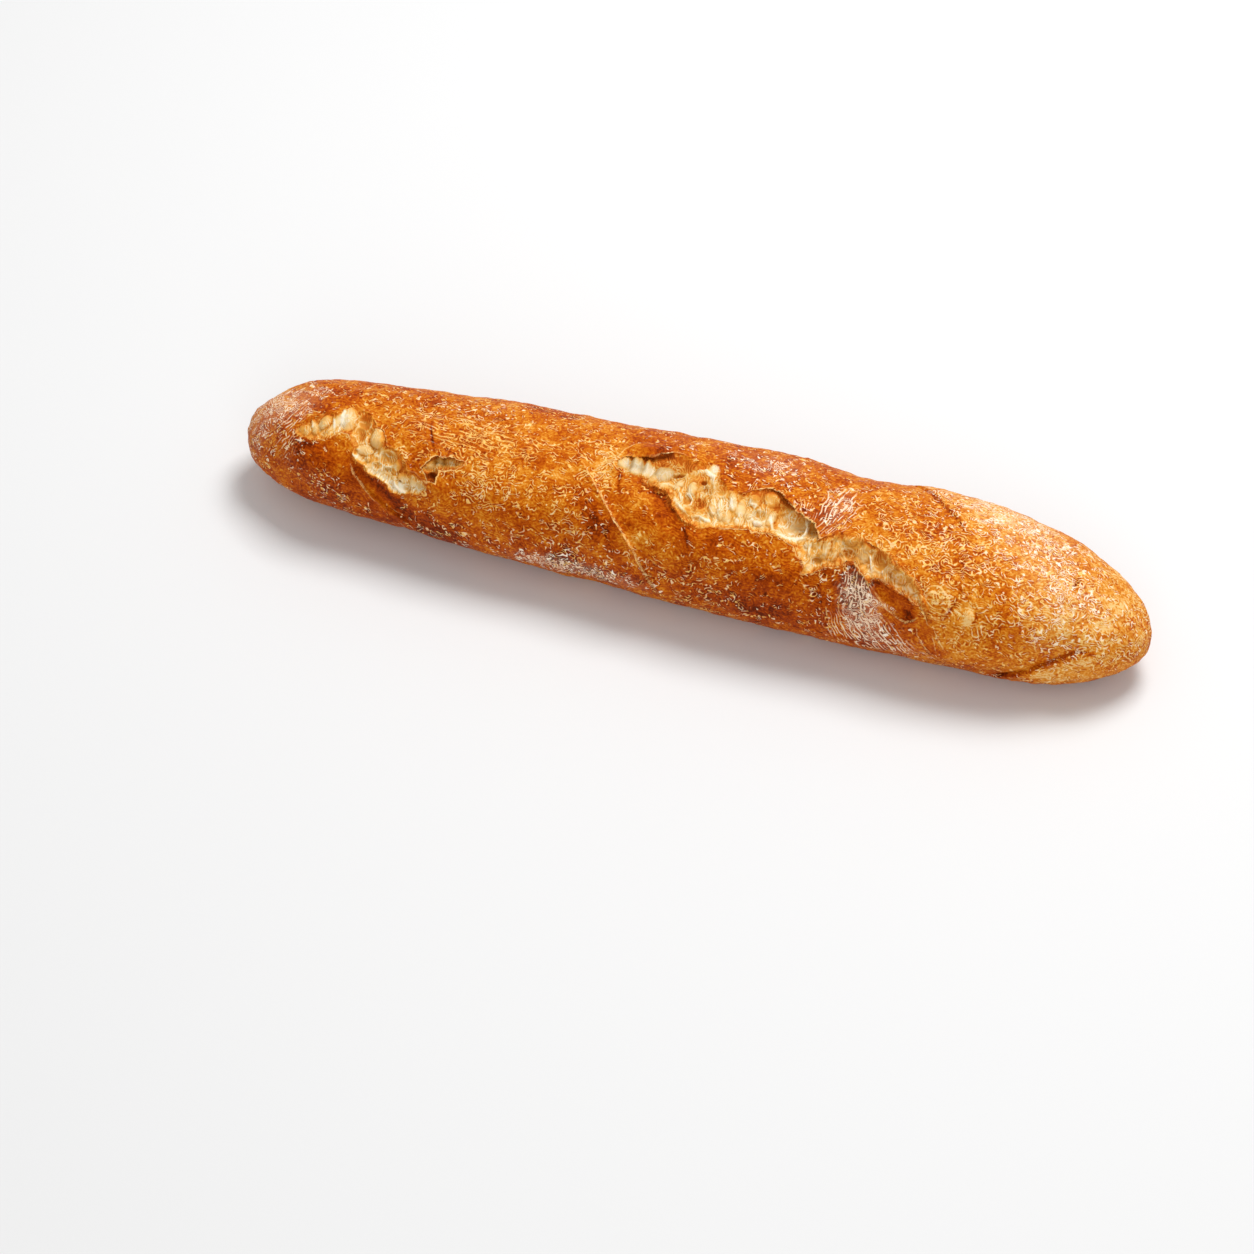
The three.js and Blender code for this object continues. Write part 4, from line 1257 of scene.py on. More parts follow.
@dataclass
class LoafMesh:
    """Builds the loaf as one closed mesh, finest in the bursts. Sizes are in millimetres."""

    form: LoafForm
    relief: LoafRelief
    bake: LoafBake
    rings: int = 250
    spokes: int = 124
    samples: int = 8001
    tip_crowding: float = 7.0
    fine_margin: float = 1.8
    medium_margin: float = 10.0
    fine_seam: float = 1.0
    medium_seam: float = 5.0
    step: int = Fineness.COARSE.value

    @property
    def last(self) -> int:
        """The number of the last fine ring, which is the right tip."""
        return self.rings * self.step

    @property
    def around(self) -> int:
        """How many fine spokes go round the loaf."""
        return self.spokes * self.step

    def ring_lines(self) -> np.ndarray:
        """Places the fine rings, closer together where the ends round off.

        Returns:
            Each ring's position along the loaf.
        """
        half = self.form.length / 2.0
        x = np.linspace(-half, half, self.samples)
        slope = np.diff(self.form.half_width(x)) / np.diff(x)
        density = np.minimum(self.tip_crowding, np.hypot(1.0, slope))
        run = np.concatenate([[0.0], np.cumsum(density)])
        return np.interp(np.linspace(0.0, run[-1], self.last + 1), run, x)

    def fineness(self, rings: np.ndarray, girths: np.ndarray) -> np.ndarray:
        """Chooses how finely each coarse square is split.

        Args:
            rings: fine ring positions.
            girths: fine girth positions.

        Returns:
            The side of the faces in fine steps, for each coarse ring and spoke.
        """
        step = self.step
        x = (rings[:-step:step] + rings[step::step]) / 2
        g = girths[::step] + (girths[1] - girths[0]) * step / 2
        middles = Places(*(a.ravel() for a in np.meshgrid(x, g, indexing="ij")))
        depth = self.relief.read_bursts(middles).depth
        seams = np.min([seam.nearest(middles)[0].distance for seam in self.relief.seams], axis=0)
        result = np.full(depth.shape, Fineness.COARSE.value)
        result[(depth > -self.medium_margin) | (seams < self.medium_seam)] = Fineness.MEDIUM.value
        result[(depth > -self.fine_margin) | (seams < self.fine_seam)] = Fineness.FINE.value
        ends = (middles.along < rings[2 * step]) | (middles.along > rings[-2 * step - 1])
        result[ends] = Fineness.COARSE.value
        return result.reshape(len(x), len(g))

    def lattice(self, sides: np.ndarray) -> tuple[dict[tuple[int, int], int], list[list[int]]]:
        """Splits the sheet into faces whose edges meet, whatever size their neighbours are.

        Args:
            sides: the side of the faces in fine steps, for each coarse square.

        Returns:
            The number of the vertex at each fine ring and spoke, and each face's vertices.
        """
        step, around, tips = self.step, self.around, (0, self.last)
        squares = []
        for (ring, spoke), side in np.ndenumerate(sides):
            for i in range(ring * step, ring * step + step, side):
                squares += [(i, j, side) for j in range(spoke * step, spoke * step + step, side)]
        used = np.zeros((self.last + 1, around), bool)
        for i, j, side in squares:
            for j_used in (j, (j + side) % around):
                used[i, j_used] = used[i + side, j_used] = True
        number = {}
        for i, j in zip(*np.nonzero(used)):
            number.setdefault((int(i), 0 if i in tips else int(j)), len(number))
        faces = []
        for i, j, side in squares:
            rim = [(i + k, j) for k in range(side)] + [(i + side, j + k) for k in range(side)]
            rim += [(i + side - k, j + side) for k in range(side)] + [(i, j + side - k) for k in range(side)]
            kept = [(a, 0 if a in tips else b % around) for a, b in rim if used[a, b % around]]
            faces.append(list(dict.fromkeys(number[corner] for corner in kept)))
        return number, faces

    def build(self) -> bpy.types.Object:
        """Builds the loaf.

        Returns:
            The loaf's object, with its masks and its flat layout.
        """
        rings = self.ring_lines()
        girths = -self.form.turn / 4 + np.arange(self.around) * self.form.turn / self.around
        number, faces = self.lattice(self.fineness(rings, girths))
        knots = np.array(list(number))
        places = self.relief.gather(Places(rings[knots[:, 0]], girths[knots[:, 1]]))
        points, reading, crumb = self.relief.surface(places)
        tips = (knots[:, 0] == 0) | (knots[:, 0] == self.last)
        points[tips] = self.form.skin(Places(rings[knots[tips, 0]], np.zeros(int(tips.sum()))))

        mesh = bpy.data.meshes.new("loaf_bread")
        mesh.from_pydata((points * MM).tolist(), [], faces)
        mesh.polygons.foreach_set("use_smooth", np.ones(len(faces), bool))
        for layer, values in self.bake.masks(places, points, reading, crumb).items():
            attribute = mesh.attributes.new(layer.value, "FLOAT", "POINT")
            attribute.data.foreach_set("value", values.astype(np.float32))
        self.lay_flat(mesh, knots)
        mesh.validate()
        mesh.update()
        return stand("loaf_bread", mesh)

    def lay_flat(self, mesh: bpy.types.Mesh, knots: np.ndarray) -> None:
        """Lays the skin out flat, ends left and right, cut open along the base.

        Args:
            mesh: the loaf's mesh.
            knots: each vertex's fine ring and spoke.
        """
        around, tips = self.around, (0, self.last)
        layout = mesh.uv_layers.new(name=BAKE_UV)
        coordinates = np.zeros((len(mesh.loops), 2), np.float32)
        for polygon in mesh.polygons:
            loops = list(polygon.loop_indices)
            corners = [knots[mesh.loops[k].vertex_index] for k in loops]
            spokes = [int(spoke) for ring, spoke in corners if ring not in tips]
            wraps = max(spokes) - min(spokes) > around // 2
            middle = sum(s + around if wraps and s < around // 2 else s for s in spokes) / len(spokes)
            for loop, (ring, spoke) in zip(loops, corners):
                if ring in tips:
                    spoke = middle
                elif wraps and spoke < around // 2:
                    spoke += around
                coordinates[loop] = (ring / self.last, spoke / (around + 1))
        layout.data.foreach_set("uv", coordinates.ravel())


# ------------------------------------------------------------------ finishes
Colour = tuple[float, float, float, float]
Stops = tuple[tuple[float, Colour], ...]
Onset = tuple[float, float]
Inputs = dict[str | int, object]


def from_screen(red: int, green: int, blue: int) -> Colour:
    """A shader colour from the usual 0 to 255 screen values."""
    linear = [((v / 255 + 0.055) / 1.055) ** 2.4 if v > 10 else v / 255 / 12.92 for v in (red, green, blue)]
    return (*linear, 1.0)


@dataclass
class Signal:
    """An output of a node. Sums written with signals and numbers lay the nodes that work them out."""

    bench: NodeBench
    socket: bpy.types.NodeSocket

    def __add__(self, other: Signal | float) -> Signal:
        """This signal plus another or a number."""
        return self.bench.calc("ADD", self, other)

    def __sub__(self, other: Signal | float) -> Signal:
        """This signal less another or a number."""
        return self.bench.calc("SUBTRACT", self, other)

    def __mul__(self, other: Signal | float) -> Signal:
        """This signal times another or a number."""
        return self.bench.calc("MULTIPLY", self, other)

    def high(self, other: Signal | float) -> Signal:
        """The higher of this signal and another."""
        return self.bench.calc("MAXIMUM", self, other)

    def low(self, other: Signal | float, clamp: bool = False) -> Signal:
        """The lower of this signal and another, which clamp keeps from 0 to 1."""
        return self.bench.calc("MINIMUM", self, other, clamp=clamp)

    def wave(self) -> Signal:
        """A wave from -1 to 1, with one crest for each whole number that this signal passes."""
        return self.bench.calc("SINE", self * (2 * math.pi))

    def ease(self, low: Signal | float, high: Signal | float) -> Signal:
        """0 where this signal is below low, 1 above high, with a smooth rise between them."""
        inputs = {"Value": self, "From Min": low, "From Max": high}
        return self.bench.add("ShaderNodeMapRange", "Result", inputs, interpolation_type="SMOOTHSTEP")


class NodeBench:
    """Lays shader nodes out with one short call each."""

    # How far a shift moves a pattern each way, as shares of the shift.
    STEP = (1.0, 0.7, 1.3)

    def __init__(self, name: str) -> None:
        """Makes an empty material and its shader.

        Args:
            name: the material's name.
        """
        self.material = bpy.data.materials.new(name)
        self.material.use_nodes = True
        self.tree = self.material.node_tree
        self.shader = self.tree.nodes["Principled BSDF"]
        self.place = self.add("ShaderNodeTexCoord", "Object", {})

    def add(self, kind: str, output: str | int, inputs: Inputs, **settings: object) -> Signal:
        """Adds a node.

        Args:
            kind: Blender's name for the kind of node.
            output: the name or number of the output that is wanted.
            inputs: what is fed to each input.
            settings: the node's own settings.

        Returns:
            The output.
        """
        node = self.tree.nodes.new(kind)
        for name, value in settings.items():
            setattr(node, name, value)
        self.feed(node, inputs)
        return Signal(self, node.outputs[output])

    def feed(self, node: bpy.types.Node, inputs: Inputs) -> None:
        """Feeds a node, linking signals to its inputs and setting the others to plain values.

        Args:
            node: the node.
            inputs: what is fed to each input.
        """
        for name, value in inputs.items():
            if isinstance(value, Signal):
                self.tree.links.new(value.socket, node.inputs[name])
            else:
                node.inputs[name].default_value = value

    def mask(self, layer: Layer) -> Signal:
        """One of the mesh's masks."""
        return self.add("ShaderNodeAttribute", "Fac", {}, attribute_name=layer.value)

    def calc(self, operation: str, *values: Signal | float, clamp: bool = False) -> Signal:
        """A sum on one or two values."""
        return self.add("ShaderNodeMath", 0, dict(enumerate(values)), operation=operation, use_clamp=clamp)

    def moved(self, place: Signal, shift: float) -> Signal:
        """A place moved by about a distance in metres, so that two patterns of one size differ."""
        step = [share * shift for share in self.STEP]
        return self.add("ShaderNodeVectorMath", 0, {0: place, 1: step}, operation="ADD")

    def noise(self, size: float, detail: float = 2.0, rough: float = 0.5, swirl: float = 0.0,
              shift: float = 0.0) -> Signal:
        """Adds smooth noise.

        Args:
            size: the size of its lumps, in millimetres.
            detail: how many finer noises are added.
            rough: how strong those are.
            swirl: how far it is twisted by itself.
            shift: moves the noise, in metres, so that two of one size differ.

        Returns:
            A value from 0 to 1.
        """
        place = self.moved(self.place, shift) if shift else self.place
        inputs = {"Vector": place, "Scale": 1.0 / (size * MM), "Detail": detail, "Roughness": rough,
                  "Distortion": swirl}
        return self.add("ShaderNodeTexNoise", "Fac", inputs)

    def wobble(self, size: float, detail: float, rough: float = 0.5, swirl: float = 0.0,
               shift: float = 0.0) -> Signal:
        """Smooth noise from -0.5 to 0.5, with the same sizes as noise has."""
        return self.noise(size, detail, rough, swirl, shift) - 0.5

    def voronoi(self, feature: str, place: Signal, size: float) -> Signal:
        """Distance from a random net's points or edges, as a share of its size in millimetres."""
        return self.add("ShaderNodeTexVoronoi", "Distance", {"Vector": place, "Scale": 1.0 / (size * MM)},
                        feature=feature)

    def ramp(self, value: Signal, stops: Stops) -> Signal:
        """Adds a colour ramp.

        Args:
            value: the place on the ramp, from 0 to 1.
            stops: the ramp's places and colours.

        Returns:
            The colour.
        """
        colour = self.add("ShaderNodeValToRGB", "Color", {"Fac": value})
        elements = colour.socket.node.color_ramp.elements
        while len(elements) < len(stops):
            elements.new(0.5)
        for element, (position, shade) in zip(elements, stops):
            element.position = position
            element.color = shade
        return colour

    def mix(self, share: Signal | float, low: object, high: object, blend_type: str = "MIX") -> Signal:
        """A mix of two colours."""
        inputs = {"Factor": share, "A": low, "B": high}
        return self.add("ShaderNodeMix", "Result", inputs, data_type="RGBA", blend_type=blend_type)

    def blend(self, share: Signal, low: Signal | float, high: Signal | float) -> Signal:
        """A blend of two numbers."""
        return self.add("ShaderNodeMix", "Result", {"Factor": share, "A": low, "B": high}, data_type="FLOAT")


@dataclass(frozen=True)
class Lines:
    """Thin lines that curl where smooth noise turns them.

    The direction is the one in which they are counted, the spacing of straight lines and the size of the
    curls are in millimetres, the wander is how many lines the noise moves them by, and the shift moves the
    noise, in metres.
    """

    direction: tuple[float, float, float]
    spacing: float
    size: float
    wander: float
    shift: float

    def lay(self, bench: NodeBench) -> Signal:
        """Lays the lines.

        Args:
            bench: the material's nodes.

        Returns:
            A wave from -1 between the lines to 1 on them.
        """
        rise = bench.add("ShaderNodeVectorMath", "Value", {0: bench.place, 1: self.direction},
                         operation="DOT_PRODUCT")
        turned = bench.noise(self.size, detail=1.0, rough=0.4, swirl=0.3, shift=self.shift) * self.wander
        return (rise * (1.0 / (self.spacing * MM)) + turned).wave()


# The way up the front of the loaf, across the lines of its crust.
UPWARD = (0.0, 0.74, 0.67)


@dataclass(frozen=True)
class BreadFinish:
    """Baked bread: the crust's shades from pale to dark, its flecks and flour, and the crumb."""

    crust: Stops = (
        (0.00, from_screen(238, 194, 124)),
        (0.20, from_screen(224, 148, 48)),
        (0.40, from_screen(204, 112, 16)),
        (0.56, from_screen(184, 82, 5)),
        (0.72, from_screen(160, 60, 2)),
        (0.88, from_screen(130, 42, 1)),
        (1.00, from_screen(92, 26, 1)),
    )
    crumb: Stops = (
        (0.00, from_screen(244, 230, 202)),
        (0.22, from_screen(234, 200, 140)),
        (0.42, from_screen(226, 160, 68)),
        (0.66, from_screen(198, 100, 22)),
        (1.00, from_screen(130, 52, 10)),
    )
    fleck: Colour = from_screen(250, 204, 118)
    # Near-white specks on some flecks: partly flour, partly a painted glint.
    glint: Colour = from_screen(255, 242, 222)
    flour: Colour = from_screen(246, 214, 182)
    rim: Colour = from_screen(252, 208, 132)
    # The olive that the crumb's hollows are painted towards, as painted shade.
    hollow: Colour = from_screen(174, 150, 98)
    sheen_tint: Colour = (1.0, 0.5, 0.15, 1.0)
    crust_roughness: float = 0.5
    flour_roughness: float = 0.9
    crumb_roughness: float = 0.62
    gloss: float = 0.13
    glow: float = 0.12
    glow_reach: tuple[float, float, float] = (1.0, 0.55, 0.25)
    bump: float = 0.9
    bump_height: float = 0.25
    fleck_rise: float = 0.4
    flour_rise: float = 0.25
    fibre_rise: float = 0.2
    # Painted shadow in the grooves beside the raised flecks.
    groove_shade: float = 0.17
    grain_light: float = 0.17
    fleck_light: float = 0.26
    # The crumb's walls and folds come out paler: partly their own colour, partly painted highlight on raised
    # folds.
    wall_light: float = 0.22
    fibre_light: float = 0.12
    flour_share: float = 0.96
    rim_share: float = 0.85
    hollow_share: float = 0.9
    haze: float = 0.12
    drift_size: float = 0.8
    uneven: float = 0.12
    grain_lines: Lines = Lines(UPWARD, 1.5, 4.2, 6.0, 0.13)
    fleck_lines: tuple[tuple[Lines, float], ...] = (
        (Lines(UPWARD, 1.6, 3.2, 6.0, 0.0), 2.4), (Lines(UPWARD, 2.4, 4.4, 7.0, 0.31), 3.2))
    flour_lines: Lines = Lines(UPWARD, 1.8, 2.6, 7.0, 0.23)
    fibre_lines: Lines = Lines((1.0, 0.2, 0.2), 1.1, 3.4, 5.0, 0.43)
    # Lump size, detail, amount and shift of the crust's mottling.
    mottles: tuple[tuple[float, float, float, float], ...] = (
        (24.0, 2.0, 0.50, 0.0), (7.5, 3.0, 0.70, 0.19), (2.4, 2.0, 0.44, 0.33), (0.85, 1.0, 0.70, 0.41))
    # Lump size, amount and shift of the crumb's mottling.
    crumb_mottles: tuple[tuple[float, float, float], ...] = ((4.0, 0.5, 0.29), (1.2, 0.22, 0.71))
    # Lump size and amount, in millimetres, of the wander of the torn edge's colour.
    tear_wander: tuple[tuple[float, float], ...] = ((1.6, 1.0), (0.7, 0.7))
    # How far inside a torn edge the crust has given way to crumb, and how much further at a soft edge.
    crisp_edge: float = 0.15
    soft_edge: float = 1.8
    # The pale line lies this far outside a torn edge, in millimetres.
    rim_offset: float = 0.35
    dot_spacing: float = 2.0
    web_size: float = 2.6
    web_wander: float = 1.6
    # Where a pattern starts to show and where it shows in full.
    rim_onset: Onset = (0.34, 0.1)
    grain_onset: Onset = (-0.4, 0.8)
    fleck_onset: Onset = (0.60, 0.86)
    groove_onset: Onset = (0.0, -0.8)
    dot_onset: Onset = (0.21, 0.12)
    comb_onset: Onset = (0.1, 0.8)
    flour_onset: Onset = (0.28, 0.62)
    web_onset: Onset = (0.11, 0.03)

    def material(self) -> bpy.types.Material:
        """Builds the finish.

        Returns:
            The material, which reads the mesh's masks.
        """
        bench = NodeBench("baked_bread")
        combs = self.combs(bench)
        flecks, groove_shadows = self.flecks(bench, combs)
        flour = self.flour_cover(bench, combs)
        fibres = self.fibres(bench)
        depth = bench.mask(Layer.DEPTH)
        for size, amount in self.tear_wander:
            depth += bench.wobble(size, detail=1.0, shift=0.87) * amount
        is_crumb = depth.ease(-0.1, bench.mask(Layer.SOFT) * self.soft_edge + self.crisp_edge)
        crust = self.crust_colour(bench, flecks, groove_shadows, flour)
        colour = bench.mix(is_crumb, crust, self.crumb_colour(bench, combs, fibres))
        rough = bench.blend(flour, self.crust_roughness, self.flour_roughness)
        rough += bench.noise(2.5, detail=3.0) * self.uneven
        bench.feed(bench.shader, {
            "Base Color": bench.mix(self.rim_line(bench, depth) * self.rim_share, colour, self.rim),
            "Specular IOR Level": self.gloss,
            "Specular Tint": self.sheen_tint,
            "Roughness": bench.blend(is_crumb, rough, self.crumb_roughness),
            "Subsurface Weight": is_crumb * self.glow,
            "Subsurface Radius": self.glow_reach,
            "Subsurface Scale": 1.0 * MM,
            "Normal": self.relief(bench, flecks, flour, fibres, is_crumb),
        })
        return bench.material

    def rim_line(self, bench: NodeBench, depth: Signal) -> Signal:
        """Lays the thin pale line along torn edges and stretched seams.

        Args:
            bench: the material's nodes.
            depth: the distance inside the torn edge, in millimetres.

        Returns:
            The mask of the line.
        """
        edge = bench.calc("ABSOLUTE", depth + self.rim_offset)
        seam = bench.mask(Layer.SEAM) + bench.noise(0.9, detail=1.0, shift=0.97) * 0.5 - 0.2
        line = edge.low(seam).ease(*self.rim_onset)
        return line * bench.noise(3.0, detail=1.0, shift=0.99).ease(0.24, 0.36) * bench.mask(Layer.RIM)

    def grain(self, bench: NodeBench) -> Signal:
        """Lays the fine lines all over the crust.

        Args:
            bench: the material's nodes.

        Returns:
            A value from -0.3 to 0.7, and 0 where the crust's skin is smooth.
        """
        lines = self.grain_lines.lay(bench).ease(*self.grain_onset)
        lines *= bench.noise(4.2, detail=1.0, shift=0.17).ease(0.25, 0.52)
        return (lines - 0.3) * bench.mask(Layer.FLECK).ease(-0.4, 0.15)

    def flecks(self, bench: NodeBench, combs: Signal) -> tuple[Signal, Signal]:
        """Lays the bright curly strokes and dots on the crust, and the painted shadow in the grooves beside
        them.

        Args:
            bench: the material's nodes.
            combs: the mask of the combed strokes.

        Returns:
            The mask of the strokes and dots, and that of the painted groove shadows.
        """
        uneven = bench.noise(13.0, detail=1.0, shift=0.79) * 0.34 + 0.575
        keep = uneven - bench.mask(Layer.FLECK) * 0.32
        ridges, groove_shadows = combs, []
        for lines, cut in self.fleck_lines:
            wave = lines.lay(bench)
            patch = bench.noise(cut, detail=0.0, shift=lines.shift + 0.07).ease(keep, keep + 0.05)
            ridges = ridges.high(wave.ease(*self.fleck_onset) * patch)
            groove_shadows.append(wave.ease(*self.groove_onset) * patch)
        dots = bench.voronoi("F1", bench.place, self.dot_spacing).ease(*self.dot_onset)
        sparse = bench.noise(2.6, detail=0.0, shift=0.83).ease(keep - 0.06, keep)
        return ridges.high(dots * sparse), groove_shadows[0].high(groove_shadows[1])

    def cracks(self, bench: NodeBench, size: float, wander: float, shift: float) -> Signal:
        """Lays a net of wandering lines.

        Args:
            bench: the material's nodes.
            size: the size of the net's holes, in millimetres.
            wander: how far the lines are moved by smooth noise, in millimetres.
            shift: moves the net, in metres.

        Returns:
            The distance from the lines, as a share of the size.
        """
        lumps = {"Vector": bench.place, "Scale": 1.0 / (self.drift_size * size * MM), "Detail": 1.0}
        drift = bench.add("ShaderNodeTexNoise", "Color", lumps)
        inputs = {0: drift, 1: (2.0 * wander * MM,) * 3, 2: bench.place}
        drifted = bench.add("ShaderNodeVectorMath", 0, inputs, operation="MULTIPLY_ADD")
        return bench.voronoi("DISTANCE_TO_EDGE", bench.moved(drifted, shift), size)

    def combs(self, bench: NodeBench) -> Signal:
        """Lays the fine combed strokes, each cut into lengths of its own.

        Args:
            bench: the material's nodes.

        Returns:
            The mask of the strokes.
        """
        count = bench.mask(Layer.COMB_PHASE) + bench.noise(6.0, detail=1.0, shift=0.91) * 2.4
        place = bench.add("ShaderNodeCombineXYZ", 0, {"X": count, "Y": bench.mask(Layer.COMB_RUN)})
        lengths = bench.add("ShaderNodeTexNoise", "Fac", {"Vector": place, "Scale": 1.0, "Detail": 0.0})
        strokes = count.wave().ease(*self.comb_onset) * lengths.ease(0.44, 0.52)
        return strokes * bench.mask(Layer.COMBED).ease(0.1, 0.7)

    def flour_cover(self, bench: NodeBench, combs: Signal) -> Signal:
        """Lays the flour that clings to the crust, as thin curls and strokes over a haze.

        Args:
            bench: the material's nodes.
            combs: the mask of the combed strokes.

        Returns:
            The mask of the flour.
        """
        amount = bench.mask(Layer.FLOUR)
        limit = amount * -0.46 + 0.78
        cover = bench.noise(4.0, detail=3.0, rough=0.6, shift=0.47).ease(limit, limit + 0.10)
        worked = self.flour_lines.lay(bench).ease(*self.flour_onset) * cover
        worked = worked.high(combs * amount.ease(0.1, 0.5))
        return (worked + amount.ease(0.3, 1.0) * self.haze).low(1.0)

    def crust_colour(self, bench: NodeBench, flecks: Signal, groove_shadows: Signal, flour: Signal) -> Signal:
        """Lays the crust's browning, mottling, grain, flecks and flour, with painted shadows and glints.

        Args:
            bench: the material's nodes.
            flecks: the mask of the bright strokes.
            groove_shadows: the mask of the painted shadow in the grooves.
            flour: the mask of the flour.

        Returns:
            The crust's colour.
        """
        baked = bench.mask(Layer.BAKE)
        shade = baked
        for size, detail, amount, shift in self.mottles:
            shade += bench.wobble(size, detail, rough=0.55, swirl=0.4, shift=shift) * amount
        shade += groove_shadows * self.groove_shade
        shade -= self.grain(bench) * self.grain_light
        shade -= flecks * self.fleck_light
        bright = (bench.noise(2.2, detail=0.0, shift=0.57) * 1.6 - 0.3).low(0.9, clamp=True)
        colour = bench.mix(flecks * bright, bench.ramp(shade, self.crust), self.fleck)
        # Painted glints: some flecks turn near-white, more where there is flour or dark crust.
        glints = flecks * bench.noise(1.7, detail=0.0, shift=0.59).ease(0.47, 0.58)
        dark = baked.ease(0.45, 0.75) * 0.4
        flour_and_glint = bench.calc("ADD", bench.mask(Layer.FLOUR) * 1.4, dark, clamp=True)
        return bench.mix(flour * self.flour_share, bench.mix(glints * flour_and_glint, colour, self.glint), self.flour)

    def crumb_colour(self, bench: NodeBench, combs: Signal, fibres: Signal) -> Signal:
        """Lays the crumb's cream pillows and olive hollows, golden to brown where it was toasted, with
        painted shade in the hollows and painted highlight on the pillows and walls.

        Args:
            bench: the material's nodes.
            combs: the mask of the combed strokes.
            fibres: the wave of the fine strands.

        Returns:
            The crumb's colour.
        """
        shade = bench.mask(Layer.TOAST)
        lively = bench.mask(Layer.PUFF) * -0.6 + 1.0
        for size, amount, shift in self.crumb_mottles:
            shade += bench.wobble(size, detail=2.0, rough=0.55, swirl=0.5, shift=shift) * lively * amount
        web = self.cracks(bench, self.web_size, self.web_wander, 0.57).ease(*self.web_onset)
        web *= bench.noise(3.0, detail=1.0, shift=0.63).ease(0.46, 0.56)
        pale = combs.high(web * lively).high(bench.mask(Layer.WALL))
        shade -= pale * self.wall_light
        shade -= fibres * lively * self.fibre_light
        colour = bench.ramp(shade, self.crumb)
        # Painted shade: the hollows are multiplied towards olive.
        return bench.mix(bench.mask(Layer.HOLLOW) * self.hollow_share, colour, self.hollow, "MULTIPLY")

    def fibres(self, bench: NodeBench) -> Signal:
        """The crumb's fine strands, which mostly run across a burst, as a wave from -1 to 1."""
        return self.fibre_lines.lay(bench) * bench.noise(3.0, detail=0.0, shift=0.67).ease(0.40, 0.58)

    def relief(self, bench: NodeBench, flecks: Signal, flour: Signal, fibres: Signal,
               is_crumb: Signal) -> Signal:
        """Lays the fine relief: flecks and flour stand up, and the crumb and crust have their grain.

        Args:
            bench: the material's nodes.
            flecks: the mask of the bright strokes.
            flour: the mask of the flour.
            fibres: the wave of the crumb's strands.
            is_crumb: the mask of the crumb.

        Returns:
            The surface's direction.
        """
        crust = flecks * self.fleck_rise + flour * self.flour_rise
        crust += bench.noise(0.9, detail=3.0, rough=0.6, shift=0.37)
        crumb = bench.noise(1.2, swirl=0.8, shift=0.53) * 0.5 + fibres * self.fibre_rise
        return bench.add("ShaderNodeBump", "Normal", {
            "Strength": self.bump, "Distance": self.bump_height * MM,
            "Height": bench.blend(is_crumb, crust, crumb)})


@dataclass(frozen=True)
class StudioFinish:
    """The pale sweep that the loaf lies on."""

    colour: Colour = (0.76, 0.76, 0.76, 1.0)
    roughness: float = 0.9
    gloss: float = 0.2

    def material(self) -> bpy.types.Material:
        """Builds the finish.

        Returns:
            The material.
        """
        bench = NodeBench("pale_sweep")
        bench.feed(bench.shader, {
            "Base Color": self.colour, "Roughness": self.roughness, "Specular IOR Level": self.gloss})
        return bench.material


# ------------------------------------------------------------------ studio
@dataclass(frozen=True)
class Softbox:
    """One square soft light, aimed at the loaf. Sizes are in metres."""

    name: str
    place: tuple[float, float, float]
    side: float
    power: float
    aim: tuple[float, float, float] = (0.0, 0.0, 0.03)

    def hang(self) -> None:
        """Hangs the light and aims it at the middle of the loaf."""
        data = bpy.data.lights.new(self.name, "AREA")
        data.shape = "SQUARE"
        data.size = self.side
        data.energy = self.power
        light = stand(self.name, data)
        aim = np.array(self.aim) - np.array(self.place)
        light.location = self.place
        light.rotation_euler = (math.acos(-aim[2] / np.linalg.norm(aim)), 0.0, math.atan2(-aim[0], aim[1]))


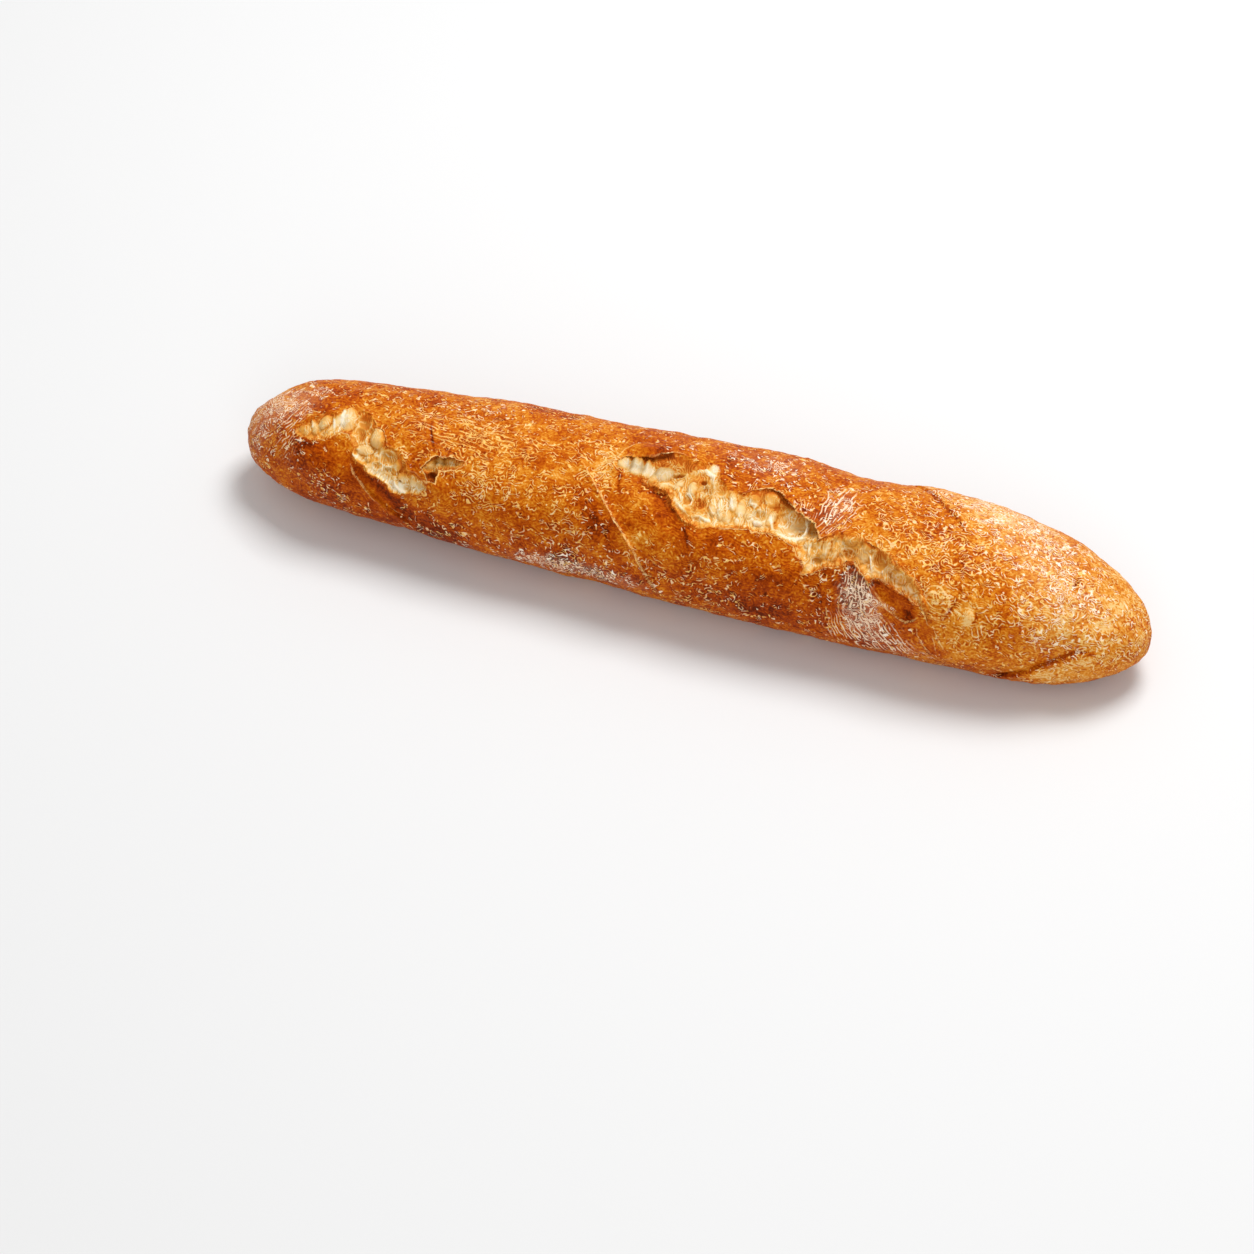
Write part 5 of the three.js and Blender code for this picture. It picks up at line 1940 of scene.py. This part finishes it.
@dataclass(frozen=True)
class Studio:
    """The floor, the lights and the camera. Sizes are in metres, angles in degrees."""

    floor_side: float = 8.0
    softboxes: tuple[Softbox, ...] = (
        Softbox("top_softbox", (0.2, 0.5, 1.25), 0.6, 15.0),
        Softbox("front_softbox", (0.5, -1.5, 1.0), 1.2, 7.5),
    )
    sky_colour: Colour = (1.0, 1.0, 1.0, 1.0)
    sky: float = 0.5
    azimuth: float = 17.8
    elevation: float = 48.0
    distance: float = 1.25
    aim: tuple[float, float, float] = (-0.0113, -0.0336, 0.0)
    lens: float = 106.2
    sensor: float = 36.0

    def lay_floor(self) -> bpy.types.Object:
        """Lays the pale floor.

        Returns:
            The floor's object.
        """
        half = self.floor_side / 2
        mesh = bpy.data.meshes.new("floor")
        ring = [(-half, -half, 0), (half, -half, 0), (half, half, 0), (-half, half, 0)]
        mesh.from_pydata(ring, [], [(0, 1, 2, 3)])
        mesh.materials.append(StudioFinish().material())
        return stand("floor", mesh)

    def light(self) -> None:
        """Hangs the lights and sets the even white surroundings."""
        for box in self.softboxes:
            box.hang()
        world = bpy.data.worlds.new("surroundings")
        world.use_nodes = True
        background = world.node_tree.nodes["Background"]
        background.inputs["Color"].default_value = self.sky_colour
        background.inputs["Strength"].default_value = self.sky
        bpy.context.scene.world = world
        bpy.context.scene.view_settings.view_transform = "Standard"

    def place_camera(self) -> None:
        """Sets the camera up and makes it the scene's."""
        data = bpy.data.cameras.new("camera")
        data.lens = self.lens
        data.sensor_width = self.sensor
        camera = stand("camera", data)
        turn, rise = math.radians(self.azimuth), math.radians(self.elevation)
        back = (math.sin(turn) * math.cos(rise), -math.cos(turn) * math.cos(rise), math.sin(rise))
        camera.location = [a + self.distance * b for a, b in zip(self.aim, back)]
        camera.rotation_euler = (math.pi / 2 - rise, 0.0, turn)
        bpy.context.scene.camera = camera


def corners() -> list[list[float]]:
    """The lowest and highest corners of all that shows, as plain lists."""
    return [list(corner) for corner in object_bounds()]


def main() -> None:
    """Loads the frame, builds the loaf and its studio, and logs the loaf's faces, triangles and air cells."""
    logging.basicConfig(level=logging.INFO, format="%(name)s: %(message)s")
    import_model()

    studio = Studio()
    studio.place_camera()
    studio.light()
    studio.lay_floor()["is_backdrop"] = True
    LOG.info("studio ready")

    form = LoafForm()
    relief = LoafRelief(form)
    loaf = LoafMesh(form, relief, LoafBake(relief)).build()
    loaf.data.materials.append(BreadFinish().material())
    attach(loaf, BODY)
    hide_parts(LOAF_NODE)
    triangles = sum(len(polygon.vertices) - 2 for polygon in loaf.data.polygons)
    cells = {name: len(found) for name, found in relief.cells.items()}
    LOG.info("%s: %d faces, %d triangles, air cells %s", loaf.name, len(loaf.data.polygons), triangles, cells)


if __name__ == "__main__":
    main()
